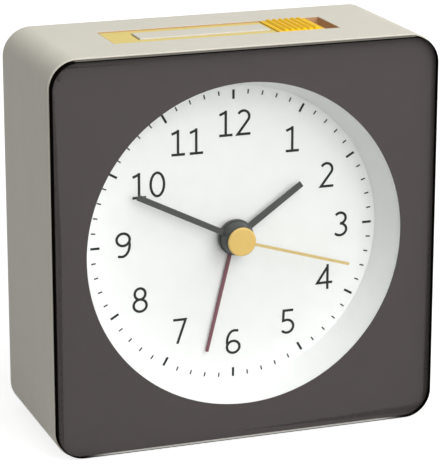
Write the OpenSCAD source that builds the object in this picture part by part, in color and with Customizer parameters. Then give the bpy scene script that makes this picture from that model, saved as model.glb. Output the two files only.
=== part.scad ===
// Square travel alarm clock with a quartz movement.
// The clock stands on its base at z = 0, faces -Y and is centred on the Z axis.

/* [Case] */
// Width of the case
case_w = 85; // [84:1:95]
// Height of the case
case_h = 85; // [84:1:95]
// Depth of the case, from its front rim to the back of the rear cover
case_d = 34.5; // [34:0.5:40]
// Thickness of the case walls
wall = 2; // [1.6:0.1:2.4]
// Radius of the four long edges of the case
corner_r = 6.2; // [5:0.1:8]
// Thickness of the web behind the front rim
web_t = 1.8; // [1.4:0.1:2.2]
// Thickness of the rear cover
cover_t = 2.2; // [2:0.1:2.6]
// Gap between pieces that fit inside one another
fit = 0.2; // [0.1:0.05:0.3]

/* [Front] */
// Thickness of the clear front lens
lens_t = 1.5; // [1:0.1:2.5]
// Thickness of the dark mask behind the lens
mask_t = 0.2; // [0.1:0.05:0.4]
// How far the lens is set in from the outline of the case
lens_inset = 0.3; // [0.2:0.1:0.8]
// Radius of the round window in the mask
window_r = 34.9; // [34:0.1:35.5]
// Depth of the dial behind the front rim
dial_depth = 8.3; // [7:0.1:8.5]
// How much the dial ring narrows from the window to the dial
ring_taper = 2.4; // [1:0.1:4]
// Thickness of the wall of the dial ring
ring_wall = 1.2; // [1:0.1:1.4]
// Thickness of the flange of the dial ring
flange_t = 1.2; // [1:0.1:1.6]
// Thickness of the dial
dial_t = 0.6; // [0.4:0.1:1]

/* [Dial print] */
// Margin between the dial ring and the ring of marks
mark_margin = 0.9; // [0.5:0.1:2]
// Length of an hour mark
hour_mark_l = 2; // [1.5:0.1:2.5]
// Width of an hour mark
hour_mark_w = 0.5; // [0.3:0.05:0.8]
// Length of a minute mark
minute_mark_l = 0.95; // [0.6:0.05:1.4]
// Width of a minute mark
minute_mark_w = 0.28; // [0.2:0.02:0.4]
// Distance of the numerals' middles from the outer ends of the marks
numeral_margin = 7.3; // [7:0.1:9]
// Height of a numeral
numeral_h = 5.6; // [5:0.05:6.5]
// Width of the numerals compared with a plain narrow sans serif
numeral_stretch = 1.12; // [0.9:0.02:1.2]
// Width of the stroke of a numeral
numeral_stroke = 0.54; // [0.4:0.02:0.8]
// Thickness of the print
print_t = 0.06; // [0.04:0.01:0.1]

/* [Hands] */
// Length of the hour hand from the centre
hour_hand_l = 18.1; // [15:0.1:19]
// Width of the hour hand
hour_hand_w = 1.5; // [1:0.1:2]
// Length of the minute hand from the centre
minute_hand_l = 24.6; // [22:0.1:28]
// Width of the minute hand
minute_hand_w = 1.25; // [0.8:0.05:1.6]
// Length of the second hand from the centre
second_hand_l = 25.6; // [22:0.1:29]
// Width of the second hand
second_hand_w = 0.6; // [0.3:0.05:0.9]
// Length of the alarm hand from the centre
alarm_hand_l = 25.9; // [22:0.1:29]
// Width of the alarm hand
alarm_hand_w = 0.85; // [0.4:0.05:1]
// Thickness of the blade of a hand
blade_t = 0.3; // [0.2:0.05:0.4]
// Radius of the boss of the hour hand
hour_boss_r = 3.9; // [3.4:0.1:5.5]
// Radius of the boss of the minute hand
minute_boss_r = 3.6; // [3.2:0.1:5.2]
// Radius of the boss of the alarm hand
alarm_boss_r = 3.4; // [2.8:0.1:4]
// Radius of the cap on the second hand
cap_r = 3.1; // [2.6:0.1:3.6]
// Hour that the hour hand shows, in degrees from 12
hour_angle = 55; // [0:0.1:360]
// Minute that the minute hand shows, in degrees from 12
minute_angle = 296.5; // [0:0.1:360]
// Second that the second hand shows, in degrees from 12
second_angle = 106.8; // [0:0.1:360]
// Time that the alarm hand shows, in degrees from 12
alarm_angle = 193.8; // [0:0.1:360]

/* [Top controls] */
// Length of the slot in the top of the case
slot_l = 50; // [49.7:0.1:52]
// Width of the slot
slot_w = 12.5; // [11.5:0.1:13.5]
// Depth of the slot below the top of the case
slot_depth = 2.6; // [2.4:0.1:2.8]
// Distance of the snooze frame below the top of the case
frame_drop = 0.25; // [0.2:0.05:0.6]
// Length of the snooze key
key_l = 28.8; // [25.6:0.1:29]
// Width of the snooze key
key_w = 6; // [5:0.1:7]
// Travel of the snooze key
key_travel = 0.9; // [0.6:0.1:1]
// Width of the band of the frame at the left of the key
frame_band = 6.5; // [6:0.1:7]
// Length of the alarm slider
slider_l = 10.3; // [9.9:0.1:10.6]
// Number of grip ribs on the alarm slider
slider_ribs = 6; // [4:1:7]
// Distance from one grip rib to the next
rib_pitch = 1.38; // [1.2:0.02:1.4]
// Travel of the alarm slider
slider_travel = 3; // [2:0.1:3]

/* [Rear] */
// Length of the well around the knobs
well_w = 34; // [32:0.5:36]
// Height of the well around the knobs
well_h = 17; // [16:0.5:18]
// Depth of the well
well_depth = 3.5; // [3:0.1:3.8]
// Radius of a knob
knob_r = 6; // [5:0.1:6.5]
// Height of a knob
knob_h = 3; // [2.4:0.1:3.2]
// Number of grooves round a knob
knob_grooves = 24; // [12:2:32]
// Number of sound slots
sound_slots = 5; // [3:1:6]
// Length of the middle sound slot
sound_slot_l = 15; // [10:0.5:18]
// Width of a sound slot
sound_slot_w = 1.3; // [0.8:0.1:1.6]

/* [Battery] */
// Radius of the battery
battery_r = 7.1; // [7:0.05:7.2]
// Length of the battery without its button
battery_l = 49.2; // [49:0.1:49.4]
// Thickness of the battery door
door_t = 1.6; // [1.4:0.1:1.6]

/* [Movement] */
// Reach of the movement housing to the left of the hands' axis, seen from the front
housing_left = 22.3; // [22.1:0.1:25]
// Reach of the movement housing to the right of the axis
housing_right = 25.6; // [25.5:0.1:28]
// Reach of the movement housing below the axis
housing_below = 15.5; // [15.4:0.1:19]
// Reach of the movement housing above the axis
housing_above = 18; // [17.8:0.1:20]
// Depth inside the movement
train_d = 13; // [13:0.1:13.6]
// Thickness of the movement plates
plate_t = 1.2; // [1:0.1:1.5]
// Thickness of the wheels
wheel_t = 0.8; // [0.7:0.05:0.9]
// Free space between neighbouring wheels
wheel_gap = 0.5; // [0.4:0.05:0.55]
// Running clearance of an arbor in its bearing
running = 0.05; // [0.03:0.01:0.08]
// Module of the motion work
motion_module = 0.375; // [0.37:0.005:0.38]
// Module of the alarm wheel and its pinion
alarm_module = 0.3; // [0.295:0.005:0.305]
// Module of the centre wheel and the third pinion
centre_module = 0.25; // [0.245:0.005:0.255]
// Module of the seconds wheel and the intermediate pinion
seconds_module = 0.35; // [0.345:0.005:0.355]
// Module of the intermediate wheel and the rotor pinion
rotor_module = 0.25; // [0.245:0.005:0.255]
// Radius of the seconds arbor
seconds_arbor_r = 0.5; // [0.45:0.05:0.55]
// Wall of each tube round the seconds arbor
tube_wall = 0.45; // [0.4:0.05:0.5]
// Radius of the arbors of the train
arbor_r = 0.45; // [0.4:0.05:0.5]
// Radius of the setting shafts
shaft_r = 0.7; // [0.6:0.05:0.8]

/* [Hidden] */
$fn = 96;
eps = 0.01;

// Colours of the pieces
grey = [0.69, 0.68, 0.63];
dark = [0.20, 0.185, 0.18];
white = [0.93, 0.94, 0.94];
ink = [0.16, 0.17, 0.17];
yellow = [0.93, 0.73, 0.16];
pale_yellow = [0.90, 0.77, 0.42];
maroon = [0.50, 0.20, 0.26];
brown = [0.35, 0.20, 0.14];
black = [0.08, 0.08, 0.09];
nylon = [0.88, 0.87, 0.80];
brass = [0.80, 0.63, 0.30];
steel = [0.70, 0.71, 0.73];
copper = [0.72, 0.38, 0.20];
board_green = [0.10, 0.35, 0.20];
lead_grey = [0.85, 0.84, 0.78];

// Planes along Y, from the front of the lens to the back of the cover
total_d = lens_t + mask_t + case_d;
y_lens = -total_d / 2;
y_mask = y_lens + lens_t;
y_rim = y_mask + mask_t;
y_web = y_rim + web_t;
y_dial = y_rim + dial_depth;
y_flange = y_dial - flange_t;
y_plate = y_dial + dial_t;
y_train = y_plate + plate_t;
y_housing = y_train + train_d;
y_back = y_housing + plate_t;
y_rear = total_d / 2;
y_cover = y_rear - cover_t;
y_mid = y_rim + case_d / 2;
zc = case_h / 2;

// Screws of the whole clock
screw_r = 1;
screw_head_r = 2;
screw_head_h = 1.2;
screw_l = 7;
screw_bite = 2.6;

// Inside of the case, its corner posts and its bosses
in_w = case_w - 2 * wall;
in_h = case_h - 2 * wall;
in_r = corner_r - wall;
post_r = 2.6;
post_in = wall + in_r;
post_x = case_w / 2 - post_in;
post_z = case_h / 2 - post_in;
rib_w = 1.2;
rib_l = in_r + eps;
boss_r = 2.4;
ring_boss_in = 9;
ring_boss_x = in_w / 2 - ring_boss_in;
ring_boss_z = in_h / 2 - ring_boss_in;
ring_in_r = window_r + 0.1;
ring_out_r = ring_in_r + ring_wall;
web_hole_r = ring_out_r + 2 * fit;

// Dial, and the flange of the dial ring
dial_view_r = window_r - ring_taper;
mark_r = dial_view_r - mark_margin;
numeral_r = mark_r - numeral_margin;
dial_r = dial_view_r + 2;
flange_gap = 0.8;
flange_w = in_w - 2 * flange_gap;
flange_h = in_h - 2 * flange_gap;

// Heights of the hands above the dial
alarm_boss = [0.4, 1];
hour_boss = [1.3, 2];
minute_boss = [2.3, 4.7];
cap_layer = [5.3, 5.8];
alarm_blade = 0.5;
hour_blade = 1.5;
minute_blade = 2.5;
second_blade = 5;

// Tubes that carry the hands, from the inside out
minute_in_r = seconds_arbor_r + running;
minute_out_r = minute_in_r + tube_wall;
hour_in_r = minute_out_r + running;
hour_out_r = hour_in_r + tube_wall;
alarm_in_r = hour_out_r + running;
alarm_out_r = alarm_in_r + tube_wall;
dial_hole_r = alarm_out_r + 0.6;

// Tooth counts of the wheels and pinions
leaves = 8;
setting_leaves = 12;
motion_leaves = 10;
motion_teeth = 36;
hour_teeth = 40;
alarm_teeth = 48;
centre_teeth = 60;
third_teeth = 64;
seconds_teeth = 40;
intermediate_teeth = 48;

// Distances between the centres of meshing wheels, and the modules that follow from them
motion_a = (setting_leaves + motion_teeth) * motion_module / 2;
hour_module = 2 * motion_a / (motion_leaves + hour_teeth);
alarm_a = (setting_leaves + alarm_teeth) * alarm_module / 2;
third_a = (leaves + centre_teeth) * centre_module / 2;
third_module = 2 * third_a / (leaves + third_teeth);
intermediate_a = (leaves + seconds_teeth) * seconds_module / 2;
rotor_a = (leaves + intermediate_teeth) * rotor_module / 2;

// Directions from one centre to the next, and the centres, seen from the front
motion_dir = 90;
third_dir = 210;
intermediate_dir = 330;
rotor_dir = 350;
time_dir = 210;
alarm_dir = 30;
function polar(r, a) = [r * cos(a), r * sin(a)];
motion_c = polar(motion_a, motion_dir);
third_c = polar(third_a, third_dir);
intermediate_c = polar(intermediate_a, intermediate_dir);
rotor_c = intermediate_c + polar(rotor_a, rotor_dir);
time_c = motion_c + polar(motion_a, time_dir);
alarm_c = polar(alarm_a, alarm_dir);

// Levels of the wheels, from the dial to the back
function level(i) = y_train + 0.3 + i * (wheel_t + wheel_gap);
alarm_level = level(0);
hour_level = level(1);
motion_level = level(2);
centre_level = level(3);
third_level = level(4);
seconds_level = level(5);
intermediate_level = level(6);
magnet_level = level(7) - 0.2;
contact_level = hour_level - wheel_gap / 2 - 0.1;
motion_post_r = 0.8;
pivot_l = plate_t - 0.2;

// Housing of the movement: its size and middle, its screw bosses, and the bosses that hold the front plate
housing_size = [housing_left + housing_right, housing_below + housing_above];
housing_c = [(housing_right - housing_left) / 2, (housing_above - housing_below) / 2];
housing_boss_r = screw_r + 1;
housing_boss_in = plate_t + 1.2;
housing_boss = [housing_size[0] / 2 - housing_boss_in, housing_size[1] / 2 - housing_boss_in];
plate_boss_angle = 36;
plate_boss = polar(ring_out_r + screw_r + 0.8, plate_boss_angle);
plate_margin = boss_r - 0.3;

// Motor
magnet_r = 2;
magnet_t = 1.8;
stator_t = 0.8;
stator_bore_r = 2.5;
stator_w = 7.4;
arm_w = 2.8;
neck = 0.4;
notch_h = 0.8;
core_w = 1.6;
core_x = housing_right - plate_t - 3.2;
core_z = [-10.6, 6.4];
coil_r = 2.8;
coil_core_r = 1.3;
coil_flange_t = 0.8;
coil_z = [core_z[0] + arm_w + 0.4, core_z[1] - arm_w - 0.4];
coil_y = magnet_level + stator_t / 2;

// Circuit board of the movement, and the windows in the housing behind it as [x, z, x, z]
board_t = 0.8;
board_x = [-20.5, -9.5];
board_z = [-10.6, 11];
board_y = y_housing - board_t;
lead_window = [-16.2, 7.6, -10.6, 10.2];
minus_window = [-20, -10.2, -17, -7.8];
plus_window = [-13.4, -10.2, -10.4, -7.8];
chip_r = 2.2;
chip_t = 0.9;
chip_c = [(board_x[0] + board_x[1]) / 2, (board_z[0] + board_z[1]) / 2 + 2];
crystal_r = 1;
crystal_l = 6;
crystal_z = board_z[0] + 5;

// Contact leaf between the alarm wheel and the hour wheel, and the stud that carries it
contact_t = 0.2;
contact_z = -housing_below + plate_t + 0.3;
contact_reach = 9;
contact_leaf_w = 2.4;
stud_w = 3;

// Controls under the top of the case
z_top = case_h;
z_under = case_h - wall;
z_floor = z_top - slot_depth;
tray_floor_t = 1.5;
z_tray = z_floor - tray_floor_t;
tray_w = slot_l + 8;
tray_d = slot_w + 4;
board_gap = 2.1;
z_board = z_tray - board_gap;
top_board_t = 1;
top_board_l = 48;
top_board_w = 13;
stake_r = 0.9;
stake_x = tray_w / 2 - 1.6;
stake_y = 5.5;
frame_x0 = -slot_l / 2 + fit / 2;
key_x0 = frame_x0 + frame_band;
key_x1 = key_x0 + key_l;
slider_stop = 0.3;
slider_x1 = slot_l / 2 - slider_stop - slider_travel;
slider_x0 = slider_x1 - slider_l;
slider_c = (slider_x0 + slider_x1) / 2;
frame_x1 = slider_x0 - fit;
rib_h = 0.5;
rib_r = 0.5;
key_lip = 1;
key_flange_t = 0.8;
leg_x = 4;
leg_y = 5;
foot_t = 0.4;
foot_gap = 0.2;
foot_lip = 1.1;
wiper_r = 0.5;
wiper_y = 2.4;
wiper_gap = 0.05;

// Knob well and battery bay of the rear cover
well_z = zc + alarm_c[1];
well_floor_t = 1.5;
bay_wall = 1.4;
bay_gap = 0.4;
bay_rise = 2.4;
bay_zc = wall + bay_rise + bay_wall + bay_gap + battery_r;
button_r = 2.65;
button_l = 1.2;
strip_t = 0.3;
strip_w = 1.6;
strip_slot = 0.6;
lead_w = 3;
lead_end = 2;
spring_l = 2.4;
contact_w = 8;
battery_x0 = -(battery_l + button_l) / 2;
battery_x1 = battery_x0 + battery_l;
bay_x0 = battery_x0 - spring_l - strip_t;
bay_x1 = battery_x1 + button_l + strip_t;
bay_h = 2 * (battery_r + bay_gap);
battery_yc = y_rear - door_t - bay_gap - battery_r;
bay_y0 = battery_yc - battery_r - bay_gap;
door_l = bay_x1 - bay_x0;
door_h = bay_h + 2;
door_z0 = bay_zc - bay_h / 2 - 1;
hinge_r = door_t / 2;
hinge_y = y_rear - hinge_r;
hinge_z = door_z0 + door_h - hinge_r;
hinge_pin_r = 0.5;
hinge_pin_l = 1.2;

// Sounder
sounder_r = 8;
sounder_t = 3.6;
sounder_z = well_z + well_h / 2 + well_floor_t + sounder_r + 4;
slot_pitch = 2 * sound_slot_w;

// ---------------------------------------------------------------- helpers

// Extrudes a flat X-Z drawing along Y, from y0 to y1
module along_y(y0, y1, at = [0, 0]) {
    translate([at[0], y1, at[1]]) rotate([90, 0, 0]) linear_extrude(y1 - y0) children();
}

// Puts a piece that is drawn round the hands' axis at its height in the case
module on_axis() {
    translate([0, 0, zc]) children();
}

module rounded_rect(w, h, r) {
    square([w - 2 * r, h], center = true);
    square([w, h - 2 * r], center = true);
    for (sx = [-1, 1], sz = [-1, 1]) translate([sx * (w / 2 - r), sz * (h / 2 - r)]) circle(r);
}

// A box given by its two corners
module block(low, high) {
    translate(low) cube(high - low);
}

// A disc or rod along Y
module rod_y(r, y0, y1, at = [0, 0]) {
    translate([at[0], y1, at[1]]) rotate([90, 0, 0]) cylinder(r = r, h = y1 - y0);
}

// A body of revolution round the Y axis; points are [radius, y]
module turned_y(points) {
    rotate([-90, 0, 0]) rotate_extrude() polygon(points);
}

module four_corners(x, z) {
    for (sx = [-1, 1], sz = [-1, 1]) translate([sx * x, 0, sz * z]) children();
}

// A self-tapping screw whose head rests on y and whose shank runs towards -Y
module screw(y, length = screw_l) {
    difference() {
        union() {
            rod_y(screw_head_r, y, y + screw_head_h);
            rod_y(screw_r, y - length, y + eps);
        }
        for (a = [0, 90]) translate([0, y + screw_head_h, 0]) rotate([0, a, 0])
            cube([2.4, 1.2, 0.5], center = true);
    }
}

// ---------------------------------------------------------------- gear teeth

// Share of the pitch that a tooth fills
wheel_share = 0.44;
leaf_share = 0.36;

// Angle by which the epicycloid on pitch circle R, rolled by a circle g, has closed in at radius r
function epicycloid(R, g, r) =
    let (turn = acos(((R + g) * (R + g) + g * g - r * r) / (2 * (R + g) * g)))
    turn * g / R - atan2(g * sin(turn), R + g - g * cos(turn));

// Half of a wheel tooth, from root to tip, as [radius, half angle]; its mate has n leaves
function wheel_half(z, m, n) =
    let (R = z * m / 2, g = n * m / 4, w = 180 / z * wheel_share)
    [
        [R - 1.35 * m, w],
        [R, w],
        [R + 0.5 * m, w - epicycloid(R, g, R + 0.5 * m)],
        [R + m, w - epicycloid(R, g, R + m)]
    ];

// Half of a pinion leaf, with a radial flank and a rounded tip
function leaf_half(z, m) =
    let (R = z * m / 2, w = 180 / z * leaf_share)
    [[R - 1.3 * m, w], [R, w], [R + 0.35 * m, 0.8 * w], [R + 0.6 * m, 0.35 * w]];

// Closed outline of z teeth whose first tooth points to the angle phase
function toothed(z, half, phase) =
    let (last = len(half) - 1)
    [for (k = [0:z - 1], s = [-1, 1], i = [0:last])
        let (p = half[s < 0 ? i : last - i]) polar(p[0], phase + k * 360 / z + s * p[1])];

// Phase of a wheel of zb teeth in mesh with one of za teeth and phase pa, which lies in direction dir from it
function in_mesh(za, pa, zb, dir) = dir + 180 + 360 / zb * (0.5 - (pa - dir) * za / 360);

module wheel(z, m, n, y, phase = 0) {
    along_y(y, y + wheel_t) polygon(toothed(z, wheel_half(z, m, n), phase));
}

module pinion(z, m, y, phase = 0, t = wheel_t) {
    along_y(y, y + t) polygon(toothed(z, leaf_half(z, m), phase));
}

motion_phase = in_mesh(setting_leaves, 0, motion_teeth, motion_dir);
hour_phase = in_mesh(motion_leaves, 0, hour_teeth, motion_dir + 180);
time_phase = in_mesh(motion_teeth, motion_phase, setting_leaves, time_dir);
alarm_phase = in_mesh(alarm_teeth, 0, setting_leaves, alarm_dir);
third_phase = in_mesh(leaves, 0, third_teeth, third_dir);
centre_phase = in_mesh(leaves, 0, centre_teeth, third_dir + 180);
intermediate_phase = in_mesh(seconds_teeth, 0, leaves, intermediate_dir);
rotor_phase = in_mesh(intermediate_teeth, 0, leaves, rotor_dir);

// ---------------------------------------------------------------- numerals

// Points of an elliptical arc with centre c and half axes a and b
function arc(c, a, b, from, to, n = 14) =
    [for (i = [0:n]) let (t = from + (to - from) * i / n) [c[0] + a * cos(t), c[1] + b * sin(t)]];

// How far each numeral from 1 to 12 stands to the right of its place on the ring, and above it, so that
// the wide ones don't crowd the marks
nudges = [
    [1.1, -1.2], [0.2, -0.8], [0.3, 0.1], [0, 0.7], [0.4, 0.4], [0, 0.5],
    [0.1, 1], [0.2, 0], [-0.1, 0.2], [2.2, 0.5], [1.9, 0.1], [0.3, 0.1]
];

// Centrelines of the strokes of each digit, in a box one unit high
digits = [
    [arc([0, 0.5], 0.235, 0.45, 0, 360, 24)],
    [[[-0.22, 0.84], [0, 0.94]], [[0, 1], [0, 0]], [[-0.23, 0.05], [0.24, 0.05]]],
    [concat(arc([-0.01, 0.72], 0.205, 0.23, 150, -30, 12), [[-0.215, 0.05], [0.24, 0.05]])],
    [arc([-0.02, 0.735], 0.2, 0.215, 145, -90, 12), arc([-0.03, 0.285], 0.235, 0.235, 90, -140, 12)],
    [[[0.1, 0.9], [-0.28, 0.27], [0.28, 0.27]], [[0.1, 1], [0.1, 0]]],
    [concat([[0.2, 0.95], [-0.15, 0.95], [-0.17, 0.54]], arc([-0.03, 0.31], 0.235, 0.26, 110, -140, 12))],
    [concat([[0.19, 0.93]], arc([0.045, 0.5], 0.265, 0.45, 85, 190, 8)),
        arc([0.005, 0.29], 0.23, 0.24, 0, 360, 20)],
    [[[-0.23, 0.95], [0.21, 0.95], [-0.09, 0]]],
    [arc([0, 0.73], 0.19, 0.22, 0, 360, 18), arc([0, 0.275], 0.23, 0.24, 0, 360, 20)],
    [concat([[-0.19, 0.07]], arc([-0.045, 0.5], 0.265, 0.45, -95, 10, 8)),
        arc([-0.005, 0.71], 0.23, 0.24, 0, 360, 20)]
];

function unit(v) = v / norm(v);
function left_of(v) = [-v[1], v[0]];

// Where the outline of a stroke passes point i of its centreline, on side s
function mitre(p, i, s, w) =
    let (
        n = len(p) - 1,
        before = left_of(unit(i > 0 ? p[i] - p[i - 1] : p[1] - p[0])),
        after = left_of(unit(i < n ? p[i + 1] - p[i] : p[n] - p[n - 1])),
        mid = unit(before + after)
    ) p[i] + s * w / 2 / (mid * after) * mid;

module stroke(path, w) {
    n = len(path) - 1;
    closed = norm(path[0] - path[n]) < eps;
    if (closed) difference() {
        polygon([for (i = [0:n - 1]) ring_point(path, i, -1, w)]);
        polygon([for (i = [0:n - 1]) ring_point(path, i, 1, w)]);
    } else polygon(concat([for (i = [0:n]) mitre(path, i, 1, w)],
        [for (i = [n:-1:0]) mitre(path, i, -1, w)]));
}

// The same for a path that closes on itself
function ring_point(p, i, s, w) =
    let (n = len(p) - 1) mitre([p[(i + n - 1) % n], p[i], p[i + 1]], 1, s, w);

module digit(d) {
    for (line = digits[d])
        stroke([for (p = line) [p[0] * numeral_stretch, p[1]] * numeral_h], numeral_stroke);
}

// A number from 1 to 12 round the origin
module numeral(number) {
    low_digit = number % 10;
    step = 0.64 * numeral_stretch * numeral_h;
    translate([0, -numeral_h / 2]) {
        translate([number > 9 ? step / 2 : 0, 0]) digit(low_digit);
        if (number > 9) translate([-step / 2, 0]) digit(1);
    }
}

// ---------------------------------------------------------------- case and front

module case_shell() color(grey) difference() {
    union() {
        difference() {
            along_y(y_rim, y_rear, [0, zc]) rounded_rect(case_w, case_h, corner_r);
            along_y(y_web, y_rear + 1, [0, zc]) rounded_rect(in_w, in_h, in_r);
        }
        on_axis() for (sx = [-1, 1], sz = [-1, 1]) translate([sx * post_x, 0, sz * post_z]) {
            rod_y(post_r, y_web - eps, y_cover);
            block([min(0, sx * rib_l), y_web - eps, -rib_w / 2], [max(0, sx * rib_l), y_cover, rib_w / 2]);
            block([-rib_w / 2, y_web - eps, min(0, sz * rib_l)], [rib_w / 2, y_cover, max(0, sz * rib_l)]);
        }
        on_axis() four_corners(ring_boss_x, ring_boss_z) rod_y(boss_r, y_web - eps, y_flange);
        for (sx = [-1, 1], sy = [-1, 1]) translate([sx * stake_x, y_mid + sy * stake_y, z_tray - 0.6])
            cylinder(r = stake_r, h = z_under + eps - z_tray + 0.6);
    }
    on_axis() rod_y(web_hole_r, y_rim - 1, y_web + 1);
    block([-slot_l / 2, y_mid - slot_w / 2, z_under - 1], [slot_l / 2, y_mid + slot_w / 2, z_top + 1]);
    on_axis() four_corners(post_x, post_z) rod_y(screw_r, y_cover - screw_l, y_cover + 1);
    on_axis() four_corners(ring_boss_x, ring_boss_z) rod_y(screw_r, y_web - 1, y_flange + 1);
}

module lens_outline() {
    rounded_rect(case_w - 2 * lens_inset, case_h - 2 * lens_inset, corner_r - lens_inset);
}

module front_lens() color([0.8, 0.82, 0.84, 0.3]) along_y(y_lens, y_mask, [0, zc]) lens_outline();

module window_mask() color(dark) along_y(y_mask, y_rim, [0, zc]) difference() {
    lens_outline();
    circle(window_r);
}

module dial_ring() color(white) on_axis() difference() {
    union() {
        turned_y([
            [ring_in_r, y_rim], [ring_out_r, y_rim],
            [ring_out_r, y_dial], [dial_view_r, y_dial]
        ]);
        along_y(y_flange, y_dial) difference() {
            square([flange_w, flange_h], center = true);
            circle(window_r);
            for (sx = [-1, 1], sz = [-1, 1])
                translate([sx * (post_x + corner_r), sz * (post_z + corner_r)])
                    square(2 * (corner_r + post_r + fit), center = true);
        }
        four_corners(plate_boss[0], plate_boss[1]) rod_y(boss_r - 0.2, y_flange - 2.4, y_plate);
    }
    four_corners(plate_boss[0], plate_boss[1]) rod_y(screw_r, y_flange - 3, y_plate + 1);
    four_corners(ring_boss_x, ring_boss_z) rod_y(screw_r + fit, y_flange - 1, y_dial + 1);
}

module dial() color(white) on_axis() along_y(y_dial, y_plate) difference() {
    circle(dial_r);
    circle(dial_hole_r);
}

module dial_marks() color(ink) on_axis() along_y(y_dial - print_t, y_dial)
    for (i = [0:59]) rotate(-6 * i) {
        hour = i % 5 == 0;
        l = hour ? hour_mark_l : minute_mark_l;
        translate([0, mark_r - l / 2]) square([hour ? hour_mark_w : minute_mark_w, l], center = true);
    }

module dial_numerals() color(ink) on_axis() along_y(y_dial - print_t, y_dial)
    for (h = [1:12]) translate(polar(numeral_r, 90 - 30 * h) + nudges[h - 1]) numeral(h);

// ---------------------------------------------------------------- hands

// Turns a hand that is drawn pointing up to its angle from 12
module pointing(angle) {
    on_axis() rotate([0, angle, 0]) children();
}

// A hand with a round boss; boss holds its two heights above the dial
module hand(boss, boss_r, bore_r, blade, root_w, tip_w, length) {
    difference() {
        union() {
            rod_y(boss_r, y_dial - boss[1], y_dial - boss[0]);
            along_y(y_dial - blade - blade_t, y_dial - blade)
                polygon([[-root_w / 2, 0], [root_w / 2, 0], [tip_w / 2, length], [-tip_w / 2, length]]);
        }
        rod_y(bore_r, y_dial - boss[1] - 1, y_dial + 1);
    }
}

module alarm_hand() color(maroon) pointing(alarm_angle)
    hand(alarm_boss, alarm_boss_r, alarm_out_r, alarm_blade, alarm_hand_w, 0.8 * alarm_hand_w, alarm_hand_l);

module hour_hand() color(ink) pointing(hour_angle)
    hand(hour_boss, hour_boss_r, hour_out_r, hour_blade, hour_hand_w, 0.9 * hour_hand_w, hour_hand_l);

module minute_hand() color(ink) pointing(minute_angle)
    hand(minute_boss, minute_boss_r, minute_out_r, minute_blade, minute_hand_w, minute_hand_w, minute_hand_l);

second_hub_r = 1.6;
module second_hand() color(pale_yellow) pointing(second_angle)
    hand([second_blade, cap_layer[0]], second_hub_r, seconds_arbor_r, second_blade,
        second_hand_w, second_hand_w, second_hand_l);

module hand_cap() color(pale_yellow) on_axis() difference() {
    rod_y(cap_r, y_dial - cap_layer[1], y_dial - cap_layer[0]);
    rod_y(seconds_arbor_r, y_dial - cap_layer[1] + 0.2, y_dial);
}

// ---------------------------------------------------------------- controls in the top

module control_tray() color(brown) difference() {
    union() {
        block([-tray_w / 2, y_mid - tray_d / 2, z_tray], [tray_w / 2, y_mid + tray_d / 2, z_under]);
        for (sx = [-1, 1], sy = [-1, 1]) translate([sx * (top_board_l / 2 - 1.5), y_mid + sy * 4.8, z_board])
            cylinder(r = 1.2, h = board_gap + eps);
    }
    block([-slot_l / 2, y_mid - slot_w / 2, z_floor], [slot_l / 2, y_mid + slot_w / 2, z_under + 1]);
    block([key_x0 - key_lip - fit, y_mid - key_w / 2 - key_lip - fit, z_tray - 1],
        [key_x1 + key_lip + fit, y_mid + key_w / 2 + key_lip + fit, z_floor + 1]);
    block([slider_c - leg_x / 2 - fit, y_mid - leg_y / 2 - fit, z_tray - 1],
        [slider_c + leg_x / 2 + slider_travel + fit, y_mid + leg_y / 2 + fit, z_floor + 1]);
    for (sx = [-1, 1], sy = [-1, 1]) translate([sx * stake_x, y_mid + sy * stake_y, z_tray - 1])
        cylinder(r = stake_r, h = 6);
}

module snooze_frame() color(pale_yellow) difference() {
    block([frame_x0, y_mid - slot_w / 2 + fit / 2, z_floor],
        [frame_x1, y_mid + slot_w / 2 - fit / 2, z_top - frame_drop]);
    block([key_x0 - fit, y_mid - key_w / 2 - fit, z_floor - 1],
        [key_x1 + fit, y_mid + key_w / 2 + fit, z_top + 1]);
}

module snooze_key() color(grey) {
    block([key_x0, y_mid - key_w / 2, z_floor - 0.2 - eps], [key_x1, y_mid + key_w / 2, z_top]);
    block([key_x0 - key_lip, y_mid - key_w / 2 - key_lip, z_floor - 0.2 - key_flange_t],
        [key_x1 + key_lip, y_mid + key_w / 2 + key_lip, z_floor - 0.2]);
    translate([(key_x0 + key_x1) / 2, y_mid, z_board + 1.5])
        cylinder(r = 1.5, h = z_floor - 0.2 - z_board - 1.5);
}

// A domed contact that springs the key back
module snooze_contact() color(brass) translate([(key_x0 + key_x1) / 2, y_mid, z_board]) difference() {
    cylinder(r1 = 3, r2 = 1.6, h = 1.5);
    translate([0, 0, -eps]) cylinder(r1 = 2.7, r2 = 1.3, h = 1.25);
}

module alarm_slider() color(yellow) {
    block([slider_x0, y_mid - slot_w / 2 + fit, z_floor + 0.05],
        [slider_x1, y_mid + slot_w / 2 - fit, z_top - 0.1]);
    for (i = [0:slider_ribs - 1])
        translate([slider_c + (i - (slider_ribs - 1) / 2) * rib_pitch, y_mid + slot_w / 2 - fit, z_top - 0.1])
            rotate([90, 0, 0]) linear_extrude(slot_w - 2 * fit) difference() {
                circle(rib_r, $fn = 32);
                translate([-1, -2]) square([2, 1.8]);
            }
    block([slider_c - leg_x / 2, y_mid - leg_y / 2, z_tray - foot_gap],
        [slider_c + leg_x / 2, y_mid + leg_y / 2, z_floor + 0.1]);
}

module slider_contact() color(brass) translate([slider_c, y_mid, z_tray - foot_gap - foot_t]) {
    translate([-leg_x / 2, -leg_y / 2 - foot_lip, 0]) cube([leg_x, leg_y + 2 * foot_lip, foot_t]);
    for (s = [-1, 1]) translate([0, wiper_y * s + 0.4, wiper_r + wiper_gap - (board_gap - foot_gap - foot_t)])
        rotate([90, 0, 0]) linear_extrude(0.8) {
            circle(wiper_r);
            translate([-0.3, 0]) square([0.6, board_gap - foot_gap - foot_t - wiper_r]);
        }
}

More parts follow.
